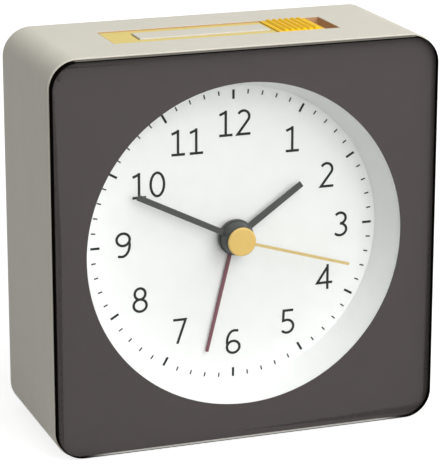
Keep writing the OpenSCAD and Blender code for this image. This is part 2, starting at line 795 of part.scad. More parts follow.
module control_board() color(board_green)
    block([-top_board_l / 2, y_mid - top_board_w / 2, z_board - top_board_t],
        [top_board_l / 2, y_mid + top_board_w / 2, z_board]);

// A flat lead from the control board down the back of the movement to its circuit board
module ribbon_lead() color(lead_grey) {
    x = [lead_window[0] + 0.4, lead_window[2] - 0.4];
    z = zc + lead_window[1] + 0.4;
    block([x[0], y_back, z], [x[1], y_back + strip_t, z_board - top_board_t]);
    block([x[0], y_housing, z], [x[1], y_back + strip_t, z + strip_t]);
}

// A flat lead from the sounder up to the control board
module sounder_lead() color(lead_grey) {
    y = y_cover - sounder_t;
    z = z_board - top_board_t;
    block([-lead_w / 2, y - strip_t, sounder_z], [lead_w / 2, y, z]);
    block([-lead_w / 2, y_mid + lead_end, z - strip_t], [lead_w / 2, y, z]);
}

// ---------------------------------------------------------------- rear

module rear_cover() color(grey) difference() {
    union() {
        along_y(y_cover, y_rear, [0, zc]) rounded_rect(in_w - 2 * fit, in_h - 2 * fit, in_r - fit);
        along_y(y_rear - well_depth - well_floor_t, y_cover + eps, [0, well_z])
            rounded_rect(well_w + 2 * well_floor_t, well_h + 2 * well_floor_t, 3 + well_floor_t);
        block([bay_x0 - bay_wall, bay_y0 - bay_wall, bay_zc - bay_h / 2 - bay_wall],
            [bay_x1 + bay_wall, y_cover + eps, bay_zc + bay_h / 2 + bay_wall]);
        translate([0, 0, sounder_z]) difference() {
            rod_y(sounder_r + 1.4, y_cover - 1.6, y_cover + eps);
            rod_y(sounder_r + fit, y_cover - 3, y_cover);
        }
    }
    along_y(y_rear - well_depth, y_rear + 1, [0, well_z]) rounded_rect(well_w, well_h, 3);
    for (c = [time_c, alarm_c]) rod_y(shaft_r + 2 * running, y_cover - 6, y_rear, [c[0], zc + c[1]]);
    block([bay_x0, bay_y0, bay_zc - bay_h / 2], [bay_x1, y_rear + 1, bay_zc + bay_h / 2]);
    block([bay_x0 - fit, y_rear - door_t - fit, door_z0 - fit],
        [bay_x1 + fit, y_rear + 1, door_z0 + door_h + fit]);
    translate([bay_x0 - fit - hinge_pin_l, hinge_y, hinge_z]) rotate([0, 90, 0])
        cylinder(r = hinge_pin_r + running, h = door_l + 2 * (fit + hinge_pin_l));
    for (x = [bay_x0, bay_x1])
        block([x - strip_slot, y_back - fit, bay_zc], [x + strip_slot, y_back + strip_w + fit, bay_zc + bay_h]);
    on_axis() four_corners(post_x, post_z) {
        rod_y(screw_r + fit, y_cover - 1, y_rear + 1);
        rod_y(screw_head_r + fit, y_rear - screw_head_h, y_rear + 1);
    }
    for (i = [0:sound_slots - 1]) {
        offset_z = (i - (sound_slots - 1) / 2) * slot_pitch;
        l = sound_slot_l * sqrt(1 - pow(offset_z / (sounder_r + 1), 2));
        translate([-l / 2, y_cover - 1, sounder_z + offset_z - sound_slot_w / 2])
            cube([l, cover_t + 2, sound_slot_w]);
    }
}

module battery_door() color(grey) difference() {
    union() {
        block([bay_x0, y_rear - door_t, door_z0], [bay_x1, y_rear, hinge_z]);
        translate([bay_x0, hinge_y, hinge_z]) rotate([0, 90, 0]) cylinder(r = hinge_r, h = door_l);
        translate([bay_x0 - hinge_pin_l, hinge_y, hinge_z]) rotate([0, 90, 0])
            cylinder(r = hinge_pin_r, h = door_l + 2 * hinge_pin_l);
    }
    // finger notch and its grooves at the free edge
    for (i = [0:2]) block([-5, y_rear - 0.5, door_z0 + 1.2 + 1.6 * i], [5, y_rear + 1, door_z0 + 2 + 1.6 * i]);
    translate([0, y_rear - door_t - 1, door_z0]) rotate([-90, 0, 0]) cylinder(r = 0.9, h = door_t + 2);
}

module knob(c) on_axis() along_y(y_rear - knob_h - 0.2, y_rear - 0.2, c) difference() {
    circle(knob_r);
    for (i = [0:knob_grooves - 1]) rotate(360 / knob_grooves * (i + 0.5)) translate([knob_r + 0.1, 0])
        circle(knob_r * 0.07, $fn = 16);
}

// A knob with a raised bar to turn it by and a socket for its shaft
module setting_knob(c) difference() {
    knob(c);
    on_axis() rod_y(shaft_r, y_rear - knob_h - 1, y_rear - 1.2, c);
    on_axis() rod_y(knob_r - 1.2, y_rear - 0.8, y_rear + 1, c);
}

module knob_bar(c) on_axis() translate([c[0], 0, c[1]])
    block([-knob_r + 1.6, y_rear - 0.8 - eps, -0.7], [knob_r - 1.6, y_rear - 0.2, 0.7]);

module time_knob() color(yellow) union() {
    setting_knob(time_c);
    knob_bar(time_c);
}

module alarm_knob() color(maroon) union() {
    setting_knob(alarm_c);
    knob_bar(alarm_c);
}

module sounder() color(black) translate([0, 0, sounder_z]) difference() {
    rod_y(sounder_r, y_cover - sounder_t, y_cover);
    rod_y(1.6, y_cover - 1.2, y_cover + 1);
}

module battery() color([0.25, 0.30, 0.36]) translate([battery_x0, battery_yc, bay_zc]) rotate([0, 90, 0]) {
    cylinder(r = battery_r, h = battery_l);
    cylinder(r = button_r, h = battery_l + button_l);
}

// A strip from a battery contact at x, forward and up past the movement's back, and across to a window
// of its board
module contact_strip(x, side, window) {
    z = zc + (window[1] + window[3] - strip_w) / 2;
    tip = side < 0 ? window[2] - 0.5 : window[0] + 0.5;
    edge = x - side * strip_t;
    bent = tip + side * strip_t;
    block([min(x, edge), y_back, bay_zc], [max(x, edge), y_back + strip_w, z + strip_w]);
    block([min(x, edge), y_back, bay_zc], [max(x, edge), battery_yc, bay_zc + strip_w]);
    block([min(x, tip), y_back, z], [max(x, tip), y_back + strip_t, z + strip_w]);
    block([min(tip, bent), y_housing, z], [max(tip, bent), y_back + strip_t, z + strip_w]);
}

// Flat contact at the button end
module positive_contact() color(steel) {
    block([bay_x1 - strip_t, battery_yc - contact_w / 2, bay_zc - contact_w / 2],
        [bay_x1, battery_yc + contact_w / 2, bay_zc + contact_w / 2]);
    contact_strip(bay_x1, 1, plus_window);
}

// Bowed leaf at the flat end
module negative_contact() color(steel) {
    block([bay_x0, battery_yc - contact_w / 2, bay_zc - contact_w / 2],
        [bay_x0 + strip_t, battery_yc + contact_w / 2, bay_zc + contact_w / 2]);
    contact_strip(bay_x0, -1, minus_window);
    translate([bay_x0, battery_yc + contact_w / 4, bay_zc]) rotate([90, 0, 0]) linear_extrude(contact_w / 2)
        polygon([[0, -3.4], [spring_l + strip_t, -0.6], [spring_l + strip_t, 0.6], [0, 3.4],
            [0, 3], [spring_l, 0.4], [spring_l, -0.4], [0, -3]]);
}

// ---------------------------------------------------------------- movement

// Outline of the movement, set in by a margin
module housing_outline(margin = 0) translate(housing_c)
    rounded_rect(housing_size[0] - 2 * margin, housing_size[1] - 2 * margin, margin > 0 ? 1 : 2);

module housing_corners() translate([housing_c[0], 0, housing_c[1]])
    four_corners(housing_boss[0], housing_boss[1]) children();

// Bearing holes that both plates share
module bearings(y0, y1) {
    for (c = [third_c, intermediate_c, rotor_c]) rod_y(arbor_r + running, y0, y1, c);
}

module front_plate() color(black) on_axis() union() {
    difference() {
        along_y(y_plate, y_train) {
            housing_outline();
            rounded_rect(2 * (plate_boss[0] + plate_margin), 2 * (plate_boss[1] + plate_margin), plate_margin);
        }
        rod_y(alarm_out_r + running, y_plate - 1, y_train + 1);
        bearings(y_train - pivot_l, y_train + 1);
        for (c = [time_c, alarm_c]) rod_y(arbor_r + running, y_train - pivot_l, y_train + 1, c);
        four_corners(plate_boss[0], plate_boss[1]) rod_y(screw_r + fit / 2, y_plate - 1, y_train + 1);
        housing_corners() rod_y(screw_r, y_plate + 0.3, y_train + 1);
    }
    rod_y(motion_post_r, y_train - eps, motion_level + wheel_t + 0.3, motion_c);
    block([-stud_w / 2, y_train - eps, contact_z], [stud_w / 2, contact_level, contact_z + stud_w]);
}

module rear_housing() color(black) on_axis() difference() {
    union() {
        along_y(y_housing, y_back) housing_outline();
        along_y(y_train, y_housing + eps) difference() {
            housing_outline();
            housing_outline(plate_t);
        }
        housing_corners() rod_y(housing_boss_r, y_train, y_housing + eps);
    }
    bearings(y_housing - 1, y_housing + pivot_l);
    rod_y(seconds_arbor_r + running, y_housing - 1, y_housing + pivot_l);
    for (c = [time_c, alarm_c]) rod_y(shaft_r + running, y_housing - 1, y_back + 1, c);
    for (w = [lead_window, minus_window, plus_window])
        block([w[0], y_housing - 1, w[1]], [w[2], y_back + 1, w[3]]);
    housing_corners() rod_y(screw_r, y_train - 1, y_back + 1);
}

module circuit_board() color(board_green) on_axis()
    block([board_x[0], board_y, board_z[0]], [board_x[1], y_housing, board_z[1]]);

module driver_chip() color(black) on_axis() rod_y(chip_r, board_y - chip_t, board_y, chip_c);

module quartz_crystal() color(steel) on_axis()
    translate([board_x[0] + 1.5, board_y - crystal_r, crystal_z]) rotate([0, 90, 0])
        cylinder(r = crystal_r, h = crystal_l);

// Two poles round the magnet, joined by thin necks, and an arm from each pole to an end of the core
module stator() color(steel) on_axis() along_y(magnet_level, magnet_level + stator_t) difference() {
    pole_x = rotor_c[0] - stator_w / 2;
    core_x1 = core_x + core_w / 2;
    union() {
        translate([pole_x, core_z[0]]) square([stator_w, core_z[1] - core_z[0]]);
        translate([pole_x, core_z[0]]) square([core_x1 - pole_x, arm_w]);
        translate([pole_x, core_z[1] - arm_w]) square([core_x1 - pole_x, arm_w]);
        translate([core_x1 - core_w, core_z[0]]) square([core_w, core_z[1] - core_z[0]]);
    }
    translate(rotor_c) circle(stator_bore_r);
    for (side = [-1, 1]) translate(rotor_c + [side * (stator_bore_r + neck + stator_w / 2), 0])
        square([stator_w, notch_h], center = true);
}

// A sleeve along Z round the stator's core
module core_sleeve(r, z) translate([core_x, coil_y, z[0]]) cylinder(r = r, h = z[1] - z[0]);

module coil_bobbin() color(nylon) on_axis() difference() {
    union() {
        core_sleeve(coil_core_r, coil_z);
        core_sleeve(coil_r + 0.1, [coil_z[0], coil_z[0] + coil_flange_t]);
        core_sleeve(coil_r + 0.1, [coil_z[1] - coil_flange_t, coil_z[1]]);
    }
    block([core_x - core_w / 2, magnet_level, coil_z[0] - 1],
        [core_x + core_w / 2, magnet_level + stator_t, coil_z[1] + 1]);
}

module coil_winding() color(copper) on_axis() difference() {
    core_sleeve(coil_r, [coil_z[0] + coil_flange_t, coil_z[1] - coil_flange_t]);
    core_sleeve(coil_core_r, coil_z);
}

module rotor_magnet() color(steel) on_axis() difference() {
    rod_y(magnet_r, magnet_level, magnet_level + magnet_t, rotor_c);
    rod_y(arbor_r, magnet_level - 1, magnet_level + magnet_t + 1, rotor_c);
}

module rotor_pinion() color(nylon) on_axis() translate([rotor_c[0], 0, rotor_c[1]]) {
    arbor();
    pinion(leaves, rotor_module, intermediate_level, rotor_phase);
}

// An arbor between the bearings of the two plates
module arbor() rod_y(arbor_r, y_train - pivot_l + 0.1, y_housing + pivot_l - 0.1);

module intermediate_wheel() color(nylon) on_axis() translate([intermediate_c[0], 0, intermediate_c[1]]) {
    arbor();
    wheel(intermediate_teeth, rotor_module, leaves, intermediate_level);
    pinion(leaves, seconds_module, seconds_level, intermediate_phase, wheel_t + wheel_gap + eps);
}

module seconds_wheel() color(nylon) on_axis() {
    rod_y(seconds_arbor_r, y_dial - cap_layer[1] + 0.2, y_housing + pivot_l - 0.1);
    wheel(seconds_teeth, seconds_module, leaves, seconds_level);
    pinion(leaves, third_module, third_level, 0, wheel_t + wheel_gap + eps);
}

module third_wheel() color(nylon) on_axis() translate([third_c[0], 0, third_c[1]]) {
    arbor();
    wheel(third_teeth, third_module, leaves, third_level, third_phase);
    pinion(leaves, centre_module, centre_level, 0, wheel_t + wheel_gap + eps);
}

// Slips on the minute arbor when the hands are set
module centre_wheel() color(brass) on_axis() difference() {
    wheel(centre_teeth, centre_module, leaves, centre_level, centre_phase);
    rod_y(minute_out_r + running, centre_level - 1, centre_level + 2);
}

module minute_arbor() color(nylon) on_axis() difference() {
    union() {
        rod_y(minute_out_r, y_dial - minute_boss[1], centre_level + wheel_t + 0.2);
        pinion(setting_leaves, motion_module, motion_level, 0, wheel_t + wheel_gap - 0.1);
    }
    rod_y(minute_in_r, y_dial - minute_boss[1] - 1, centre_level + wheel_t + 1);
}

module motion_wheel() color(nylon) on_axis() translate([motion_c[0], 0, motion_c[1]]) difference() {
    union() {
        wheel(motion_teeth, motion_module, setting_leaves, motion_level, motion_phase);
        pinion(motion_leaves, hour_module, hour_level, 0, wheel_t + wheel_gap + eps);
    }
    rod_y(motion_post_r + running, y_train, motion_level + wheel_t + 1);
}

module hour_wheel() color(nylon) on_axis() difference() {
    union() {
        rod_y(hour_out_r, y_dial - hour_boss[1], hour_level + wheel_t);
        wheel(hour_teeth, hour_module, motion_leaves, hour_level, hour_phase);
    }
    rod_y(hour_in_r, y_dial - hour_boss[1] - 1, hour_level + wheel_t + 1);
}

module alarm_wheel() color(nylon) on_axis() difference() {
    union() {
        rod_y(alarm_out_r, y_dial - alarm_boss[1], alarm_level + wheel_t);
        wheel(alarm_teeth, alarm_module, setting_leaves, alarm_level);
    }
    rod_y(alarm_in_r, y_dial - alarm_boss[1] - 1, alarm_level + wheel_t + 1);
}

// Leaf that the hour wheel closes at the alarm time
module alarm_contact() color(brass) on_axis()
    block([-contact_leaf_w / 2, contact_level, contact_z],
        [contact_leaf_w / 2, contact_level + contact_t, contact_z + contact_reach]);

module time_shaft() color(nylon) on_axis() translate([time_c[0], 0, time_c[1]]) {
    rod_y(arbor_r, y_train - pivot_l + 0.1, motion_level);
    rod_y(shaft_r, motion_level, y_rear - 1.2);
    pinion(setting_leaves, motion_module, motion_level, time_phase);
}

module alarm_shaft() color(nylon) on_axis() translate([alarm_c[0], 0, alarm_c[1]]) {
    rod_y(arbor_r, y_train - pivot_l + 0.1, alarm_level);
    rod_y(shaft_r, alarm_level, y_rear - 1.2);
    pinion(setting_leaves, alarm_module, alarm_level, alarm_phase);
}

// ---------------------------------------------------------------- screws

module cover_screws() color(steel) on_axis() four_corners(post_x, post_z) screw(y_rear - screw_head_h);

module ring_screws() color(steel) on_axis()
    four_corners(ring_boss_x, ring_boss_z) screw(y_dial, flange_t + screw_bite);

module plate_screws() color(steel) on_axis()
    four_corners(plate_boss[0], plate_boss[1]) screw(y_train, plate_t + dial_t + screw_bite);

module housing_screws() color(steel) on_axis() housing_corners() screw(y_back, plate_t + train_d + 0.8);

// ---------------------------------------------------------------- nodes

case_shell();
front_lens();
window_mask();
dial_ring();
dial();
dial_marks();
dial_numerals();
alarm_hand();
hour_hand();
minute_hand();
second_hand();
hand_cap();
control_tray();
snooze_frame();
snooze_key();
snooze_contact();
alarm_slider();
slider_contact();
control_board();
ribbon_lead();
sounder_lead();
rear_cover();
battery_door();
time_knob();
alarm_knob();
sounder();
battery();
positive_contact();
negative_contact();
front_plate();
rear_housing();
circuit_board();
driver_chip();
quartz_crystal();
stator();
coil_bobbin();
coil_winding();
rotor_magnet();
rotor_pinion();
intermediate_wheel();
seconds_wheel();
third_wheel();
centre_wheel();
minute_arbor();
motion_wheel();
hour_wheel();
alarm_wheel();
alarm_contact();
time_shaft();
alarm_shaft();
cover_screws();
ring_screws();
plate_screws();
housing_screws();
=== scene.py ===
"""Looks of a square travel alarm clock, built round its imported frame.

Sizes are in metres. The clock stands on its base at z = 0 and faces -Y.
"""

import logging
import math
from contextlib import contextmanager
from dataclasses import dataclass, field
from enum import Enum
from typing import Callable, Iterator, Sequence

import bmesh
import bpy
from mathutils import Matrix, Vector


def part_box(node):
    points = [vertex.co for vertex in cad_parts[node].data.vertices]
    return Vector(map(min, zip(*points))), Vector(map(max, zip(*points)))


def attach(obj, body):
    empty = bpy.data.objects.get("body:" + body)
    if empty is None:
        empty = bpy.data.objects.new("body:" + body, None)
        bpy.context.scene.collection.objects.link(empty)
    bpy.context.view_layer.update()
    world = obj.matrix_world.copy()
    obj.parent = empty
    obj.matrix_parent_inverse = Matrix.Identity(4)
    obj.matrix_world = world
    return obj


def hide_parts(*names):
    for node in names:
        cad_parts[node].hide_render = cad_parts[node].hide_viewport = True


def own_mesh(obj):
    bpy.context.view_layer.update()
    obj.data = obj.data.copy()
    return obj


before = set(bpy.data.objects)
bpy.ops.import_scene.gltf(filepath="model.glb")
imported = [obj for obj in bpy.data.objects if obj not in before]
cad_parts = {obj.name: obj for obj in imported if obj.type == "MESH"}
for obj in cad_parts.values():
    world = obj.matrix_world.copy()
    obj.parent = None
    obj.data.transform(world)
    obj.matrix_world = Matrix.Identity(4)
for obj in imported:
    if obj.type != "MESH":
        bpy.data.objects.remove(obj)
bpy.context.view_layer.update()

log = logging.getLogger("travel_clock")

MM = 0.001
CLEAR = 1 * MM  # how far a cutting tool passes a surface
OVERLAP = 0.1 * MM  # how far a joined piece sinks in
WELD = 0.002 * MM  # points closer than this are one
FLAT = math.radians(0.5)  # faces that meet at less are one
SHARP = 0.6  # least angle of a sharp edge, in radians
FACING = 0.9  # least share of a face's normal along the axis that it looks along
CORNER_SEGMENTS = 14
FINE_SIDES = 192
HALF_SLOT = (25 * MM, 6.25 * MM)  # of the case's opening for the controls
CORNERS = ((-1, -1), (-1, 1), (1, -1), (1, 1))
FINISH_ENDING = "_finish"

Point = Sequence[float]
Colour = tuple[float, float, float]
Pair = tuple[float, float]
Piece = bpy.types.Object
Socket = bpy.types.NodeSocket
Edge = bmesh.types.BMEdge
Face = bmesh.types.BMFace
Test = Callable[[Edge | Face], bool]

BLACK: Colour = (0.0, 0.0, 0.0)
WHITE: Colour = (1.0, 1.0, 1.0)


def srgb(red: int, green: int, blue: int) -> Colour:
    """The linear colour of an 8-bit sRGB colour.

    Args:
        red, green, blue: Its channels, from 0 to 255.

    Returns:
        The three linear channels.
    """
    def linear(value: int) -> float:
        """One channel."""
        share = value / 255
        return share / 12.92 if share <= 0.04045 else ((share + 0.055) / 1.055) ** 2.4

    return linear(red), linear(green), linear(blue)


# ---------------- shaders


class Number:
    """A number that varies over a surface; arithmetic on it adds Math nodes."""

    def __init__(self, graph: "Graph", socket: Socket) -> None:
        """Wraps an output socket of a graph's node."""
        self.graph = graph
        self.socket = socket

    def maths(self, operation: str, *values: "Number | float") -> "Number":
        """Adds one Math node.

        Args:
            operation: The Math node's operation.
            values: Its inputs in order.

        Returns:
            The node's result.
        """
        inputs = dict(enumerate(values))
        node = self.graph.node("ShaderNodeMath", inputs, operation=operation)
        return Number(self.graph, node.outputs[0])

    def __add__(self, other: "Number | float") -> "Number":
        """self + other."""
        return self.maths("ADD", self, other)

    def __rsub__(self, other: "Number | float") -> "Number":
        """other - self."""
        return self.maths("SUBTRACT", other, self)

    def __mul__(self, other: "Number | float") -> "Number":
        """self * other."""
        return self.maths("MULTIPLY", self, other)

    def wave(self, pitch: float) -> "Number":
        """A sine of the number that repeats once in a pitch."""
        return self.maths("SINE", self * (2 * math.pi / pitch))

    def step(self, low: float, high: float) -> "Number":
        """0 below low and 1 above high, with a smooth ramp between them."""
        inputs = {"Value": self, 1: low, 2: high}
        node = self.graph.node("ShaderNodeMapRange", inputs, interpolation_type="SMOOTHSTEP")
        return Number(self.graph, node.outputs[0])


class Graph:
    """A node tree under construction."""

    def __init__(self, tree: bpy.types.NodeTree) -> None:
        """Empties a tree."""
        self.tree = tree
        self.tree.nodes.clear()

    def node(self, kind: str, inputs: dict | None = None, **settings: str) -> bpy.types.Node:
        """Adds a node.

        Args:
            kind: The node's type.
            inputs: Values or links of its sockets, by name or number.
            settings: Attributes of the node, set first.

        Returns:
            The new node.
        """
        made = self.tree.nodes.new(kind)
        for key, value in settings.items():
            setattr(made, key, value)
        for key, value in (inputs or {}).items():
            self.feed(made.inputs[key], value)
        return made

    def feed(self, socket: Socket, value: object) -> None:
        """Links value to the socket if it is a link, or else sets it."""
        if isinstance(value, Number):
            value = value.socket
        if isinstance(value, Socket):
            self.tree.links.new(value, socket)
        elif isinstance(value, tuple) and len(value) == 3 and socket.type == "RGBA":
            socket.default_value = (*value, 1)
        else:
            socket.default_value = value

    def background_share(self) -> Number:
        """1 for rays from the camera, from gloss and through glass, and 0 for light."""
        rays = self.node("ShaderNodeLightPath")
        seen = Number(self, rays.outputs["Is Camera Ray"])
        for name in ("Is Glossy Ray", "Is Transmission Ray"):
            seen = seen.maths("MAXIMUM", seen, Number(self, rays.outputs[name]))
        return seen


class Recipe(Graph):
    """A material under construction, with one Principled shader at its end."""

    def __init__(self, name: str) -> None:
        """Starts an empty material called name."""
        self.material = bpy.data.materials.new(name + FINISH_ENDING)
        self.material.use_nodes = True
        super().__init__(self.material.node_tree)
        self.output = self.node("ShaderNodeOutputMaterial")
        self.shader = self.node("ShaderNodeBsdfPrincipled")
        self.place = self.node("ShaderNodeTexCoord").outputs["Object"]
        self.show(self.shader.outputs[0])

    def set(self, **sockets: object) -> None:
        """Feeds the Principled shader; underscores in a name stand for spaces."""
        for name, value in sockets.items():
            self.feed(self.shader.inputs[name.replace("_", " ")], value)

    def show(self, shader: Socket) -> None:
        """Makes a shader the surface of the material."""
        self.tree.links.new(shader, self.output.inputs["Surface"])

    def axes(self) -> tuple[Number, ...]:
        """The x, y and z of a point on the piece, in metres."""
        split = self.node("ShaderNodeSeparateXYZ", {0: self.place})
        return tuple(Number(self, socket) for socket in split.outputs)

    def noise(self, pitch: float, detail: float = 2, stretch: Point = (1, 1, 1)) -> Number:
        """Cloudy noise.

        Args:
            pitch: Size of its features in metres.
            detail: Octaves of finer noise.
            stretch: How many times longer the features are along each axis.

        Returns:
            A number round 0.5.
        """
        scale = tuple(1 / value for value in stretch)
        mapped = self.node("ShaderNodeMapping", {"Vector": self.place, "Scale": scale})
        inputs = {"Vector": mapped.outputs[0], "Scale": 1 / pitch, "Detail": detail}
        return Number(self, self.node("ShaderNodeTexNoise", inputs).outputs[0])

    def mix(self, share: Number, first: object, second: object) -> Socket:
        """A colour between first, where share is 0, and second, where it is 1."""
        inputs = {0: share, 6: first, 7: second}
        return self.node("ShaderNodeMix", inputs, data_type="RGBA").outputs[2]

    def bump(self, height: Number, depth: float) -> None:
        """Raises the surface by height times depth, in metres."""
        inputs = {"Strength": 1.0, "Distance": depth, "Height": height}
        self.set(Normal=self.node("ShaderNodeBump", inputs).outputs[0])


@dataclass(frozen=True)
class Look:
    """A named look, whose colour turns to another shade in a pattern of its own.

    The other shade is the colour times a factor plus a lift, up to 1. The roughness is
    uneven round its middle.
    """

    name: str
    colour: Colour
    roughness: float = 0.4
    specular: float = 0.5
    factor: float = 1.0
    lift: float = 0.0
    uneven: float = 0.1

    def make(self) -> bpy.types.Material:
        """Builds the material."""
        recipe = Recipe(self.name)
        self.fill(recipe)
        return recipe.material

    def fill(self, recipe: Recipe) -> None:
        """Feeds the shader."""
        raise NotImplementedError

    def shade(self) -> Colour:
        """The other shade of the colour."""
        return tuple(min(1.0, channel * self.factor + self.lift) for channel in self.colour)

    def rough(self, pattern: Number) -> Number:
        """The roughness under a pattern that goes from 0 to 1."""
        return pattern * self.uneven + (self.roughness - self.uneven / 2)


@dataclass(frozen=True)
class MouldedPlastic(Look):
    """Injection-moulded plastic with a fine spark-eroded grain."""

    roughness: float = 0.42
    factor: float = 0.9
    uneven: float = 0.08
    cloud: float = 9 * MM
    scuff: float = 2.2 * MM
    scuff_stretch: Point = (3, 1, 1)
    scuff_range: Pair = (0.58, 0.75)
    scuffed: float = 0.05
    grain: float = 0.35 * MM
    depth: float = 0.004 * MM

    def fill(self, recipe: Recipe) -> None:
        """Feeds the shader."""
        cloud = recipe.noise(self.cloud, detail=3)
        scuffs = recipe.noise(self.scuff, detail=4, stretch=self.scuff_stretch)
        worn = scuffs.step(*self.scuff_range) * self.scuffed
        recipe.set(
            Base_Color=recipe.mix(cloud, self.shade(), self.colour),
            Roughness=cloud * self.uneven + worn + (self.roughness - self.scuffed),
            Specular_IOR_Level=self.specular,
        )
        recipe.bump(recipe.noise(self.grain), self.depth)


@dataclass(frozen=True)
class Print(Look):
    """A screen-printed layer of nearly even ink."""

    roughness: float = 0.5
    specular: float = 0.3
    factor: float = 1.08
    lift: float = 0.002
    cloud: float = 3 * MM

    def fill(self, recipe: Recipe) -> None:
        """Feeds the shader."""
        density = recipe.noise(self.cloud, detail=3)
        recipe.set(
            Base_Color=recipe.mix(density, self.colour, self.shade()),
            Roughness=self.rough(density),
            Specular_IOR_Level=self.specular,
        )


@dataclass(frozen=True)
class EdgePaintWithPaintedHighlights(Look):
    """Black paint round the rim of the lens, with a painted highlight along its top:
    above a height its colour turns a patchy grey that stands in for caught light.

    The lower edge between the corners has a painted highlight too: below a height it
    takes a pale colour, but for a black stripe on its round, and shows as a fine pale line.
    """

    name: str = "lens_edge"
    colour: Colour = srgb(14, 12, 8)
    roughness: float = 0.45
    specular: float = 0.0
    # painted highlight: the grey on the rim's top that stands in for light caught there
    lit: Colour = srgb(120, 117, 110)
    # painted highlight: the pale colour on the lower edge that stands in for light caught there
    painted_foot_highlight: Colour = srgb(206, 204, 199)
    # height above which the painted highlight on top shows
    top: float = 84.62 * MM
    # height below which the painted highlight on the lower edge shows
    foot: float = 0.62 * MM
    # black stripe that breaks the lower painted highlight
    stripe: Pair = (0.31 * MM, 0.535 * MM)
    # the lower painted highlight fades out between these distances from the middle
    fade: Pair = (29 * MM, 36 * MM)
    blur: float = 0.02 * MM
    cloud: float = 3 * MM
    # how patchy the painted highlight on top is
    patchy: float = 0.3

    def fill(self, recipe: Recipe) -> None:
        """Feeds the shader."""
        across, _, height = recipe.axes()
        wear_and_highlight_patches = recipe.noise(self.cloud, detail=3)
        # film: patches of the painted highlight on top, from the same noise as the roughness
        film = wear_and_highlight_patches * self.patchy + (1 - self.patchy / 2)
        # painted highlight along the top of the rim, in patches
        top_highlight_share = height.step(self.top, self.top + 3 * self.blur) * film
        low, high = self.stripe
        stripe = height.step(low, low + self.blur) * (1 - height.step(high, high + self.blur))
        near, far = self.fade
        corners = (across * across).step(near * near, far * far)
        # painted highlight along the lower edge, but for the stripe and the corners
        foot_highlight_share = (1 - height.step(self.foot, self.foot + 2 * self.blur)) * (1 - stripe)
        painted = recipe.mix(top_highlight_share, self.colour, self.lit)
        recipe.set(
            Base_Color=recipe.mix(foot_highlight_share * (1 - corners), painted, self.painted_foot_highlight),
            Roughness=self.rough(wear_and_highlight_patches),
            Specular_IOR_Level=self.specular,
        )


@dataclass(frozen=True)
class ClearAcrylic(Look):
    """Clear acrylic with a thin anti-glare coat, which mirrors only at a glancing angle."""

    name: str = "clear_acrylic"
    colour: Colour = srgb(250, 250, 250)
    roughness: float = 0.03
    uneven: float = 0.02
    clear: Colour = srgb(252, 252, 251)
    glancing: Pair = (0.6, 1.0)
    glare: float = 0.3
    smudge: float = 14 * MM
    smudge_range: Pair = (0.5, 0.8)

    def fill(self, recipe: Recipe) -> None:
        """Feeds the shader."""
        smudge = recipe.noise(self.smudge, detail=4).step(*self.smudge_range)
        recipe.set(Base_Color=self.colour, Metallic=1.0, Roughness=self.rough(smudge))
        clear = recipe.node("ShaderNodeBsdfTransparent", {"Color": self.clear})
        weight = recipe.node("ShaderNodeLayerWeight", {"Blend": 0.5})
        share = Number(recipe, weight.outputs["Facing"]).step(*self.glancing) * self.glare
        inputs = {0: share, 1: clear.outputs[0], 2: recipe.shader.outputs[0]}
        recipe.show(recipe.node("ShaderNodeMixShader", inputs).outputs[0])


@dataclass(frozen=True)
class Paint(Look):
    """Satin paint on a thin metal or plastic hand."""

    roughness: float = 0.38
    specular: float = 0.12
    factor: float = 1.25
    lift: float = 0.01
    uneven: float = 0.12
    coat: float = 0.15
    coat_roughness: float = 0.2
    film: float = 1.5 * MM
    grain: float = 0.2 * MM
    depth: float = 0.002 * MM

    def fill(self, recipe: Recipe) -> None:
        """Feeds the shader."""
        film = recipe.noise(self.film)
        recipe.set(
            Base_Color=recipe.mix(film * 0.5, self.colour, self.shade()),
            Roughness=self.rough(film),
            Coat_Weight=self.coat,
            Coat_Roughness=self.coat_roughness,
            Specular_IOR_Level=self.specular,
        )
        recipe.bump(recipe.noise(self.grain, detail=1), self.depth)


@dataclass(frozen=True)
class Metal(Look):
    """Drawn or plated metal with fine lines along one axis."""

    roughness: float = 0.28
    factor: float = 0.75
    uneven: float = 0.14
    line: float = 0.12 * MM
    along: Point = (12, 1, 12)
    depth: float = 0.003 * MM
    stain: float = 4 * MM
    stain_range: Pair = (0.45, 0.8)
    stained: float = 0.1

    def fill(self, recipe: Recipe) -> None:
        """Feeds the shader."""
        lines = recipe.noise(self.line, stretch=self.along)
        stain = recipe.noise(self.stain, detail=4).step(*self.stain_range)
        base = self.roughness - self.uneven / 2
        recipe.set(
            Base_Color=recipe.mix(stain, self.colour, self.shade()),
            Metallic=1.0,
            Roughness=lines * self.uneven + stain * self.stained + base,
        )
        recipe.bump(lines, self.depth)


@dataclass(frozen=True)
class Laminate(Look):
    """Glass-fibre board under a green solder mask, with the weave just showing."""

    name: str = "board_laminate"
    colour: Colour = srgb(28, 92, 52)
    roughness: float = 0.33
    factor: float = 1.5
    lift: float = 0.01
    weave: float = 0.8 * MM
    depth: float = 0.004 * MM

    def fill(self, recipe: Recipe) -> None:
        """Feeds the shader."""
        across, _, along = recipe.axes()
        cloth = across.wave(self.weave) * along.wave(self.weave) * 0.5 + 0.5
        recipe.set(
            Base_Color=recipe.mix(cloth * 0.5, self.colour, self.shade()),
            Roughness=self.rough(cloth),
        )
        recipe.bump(cloth, self.depth)


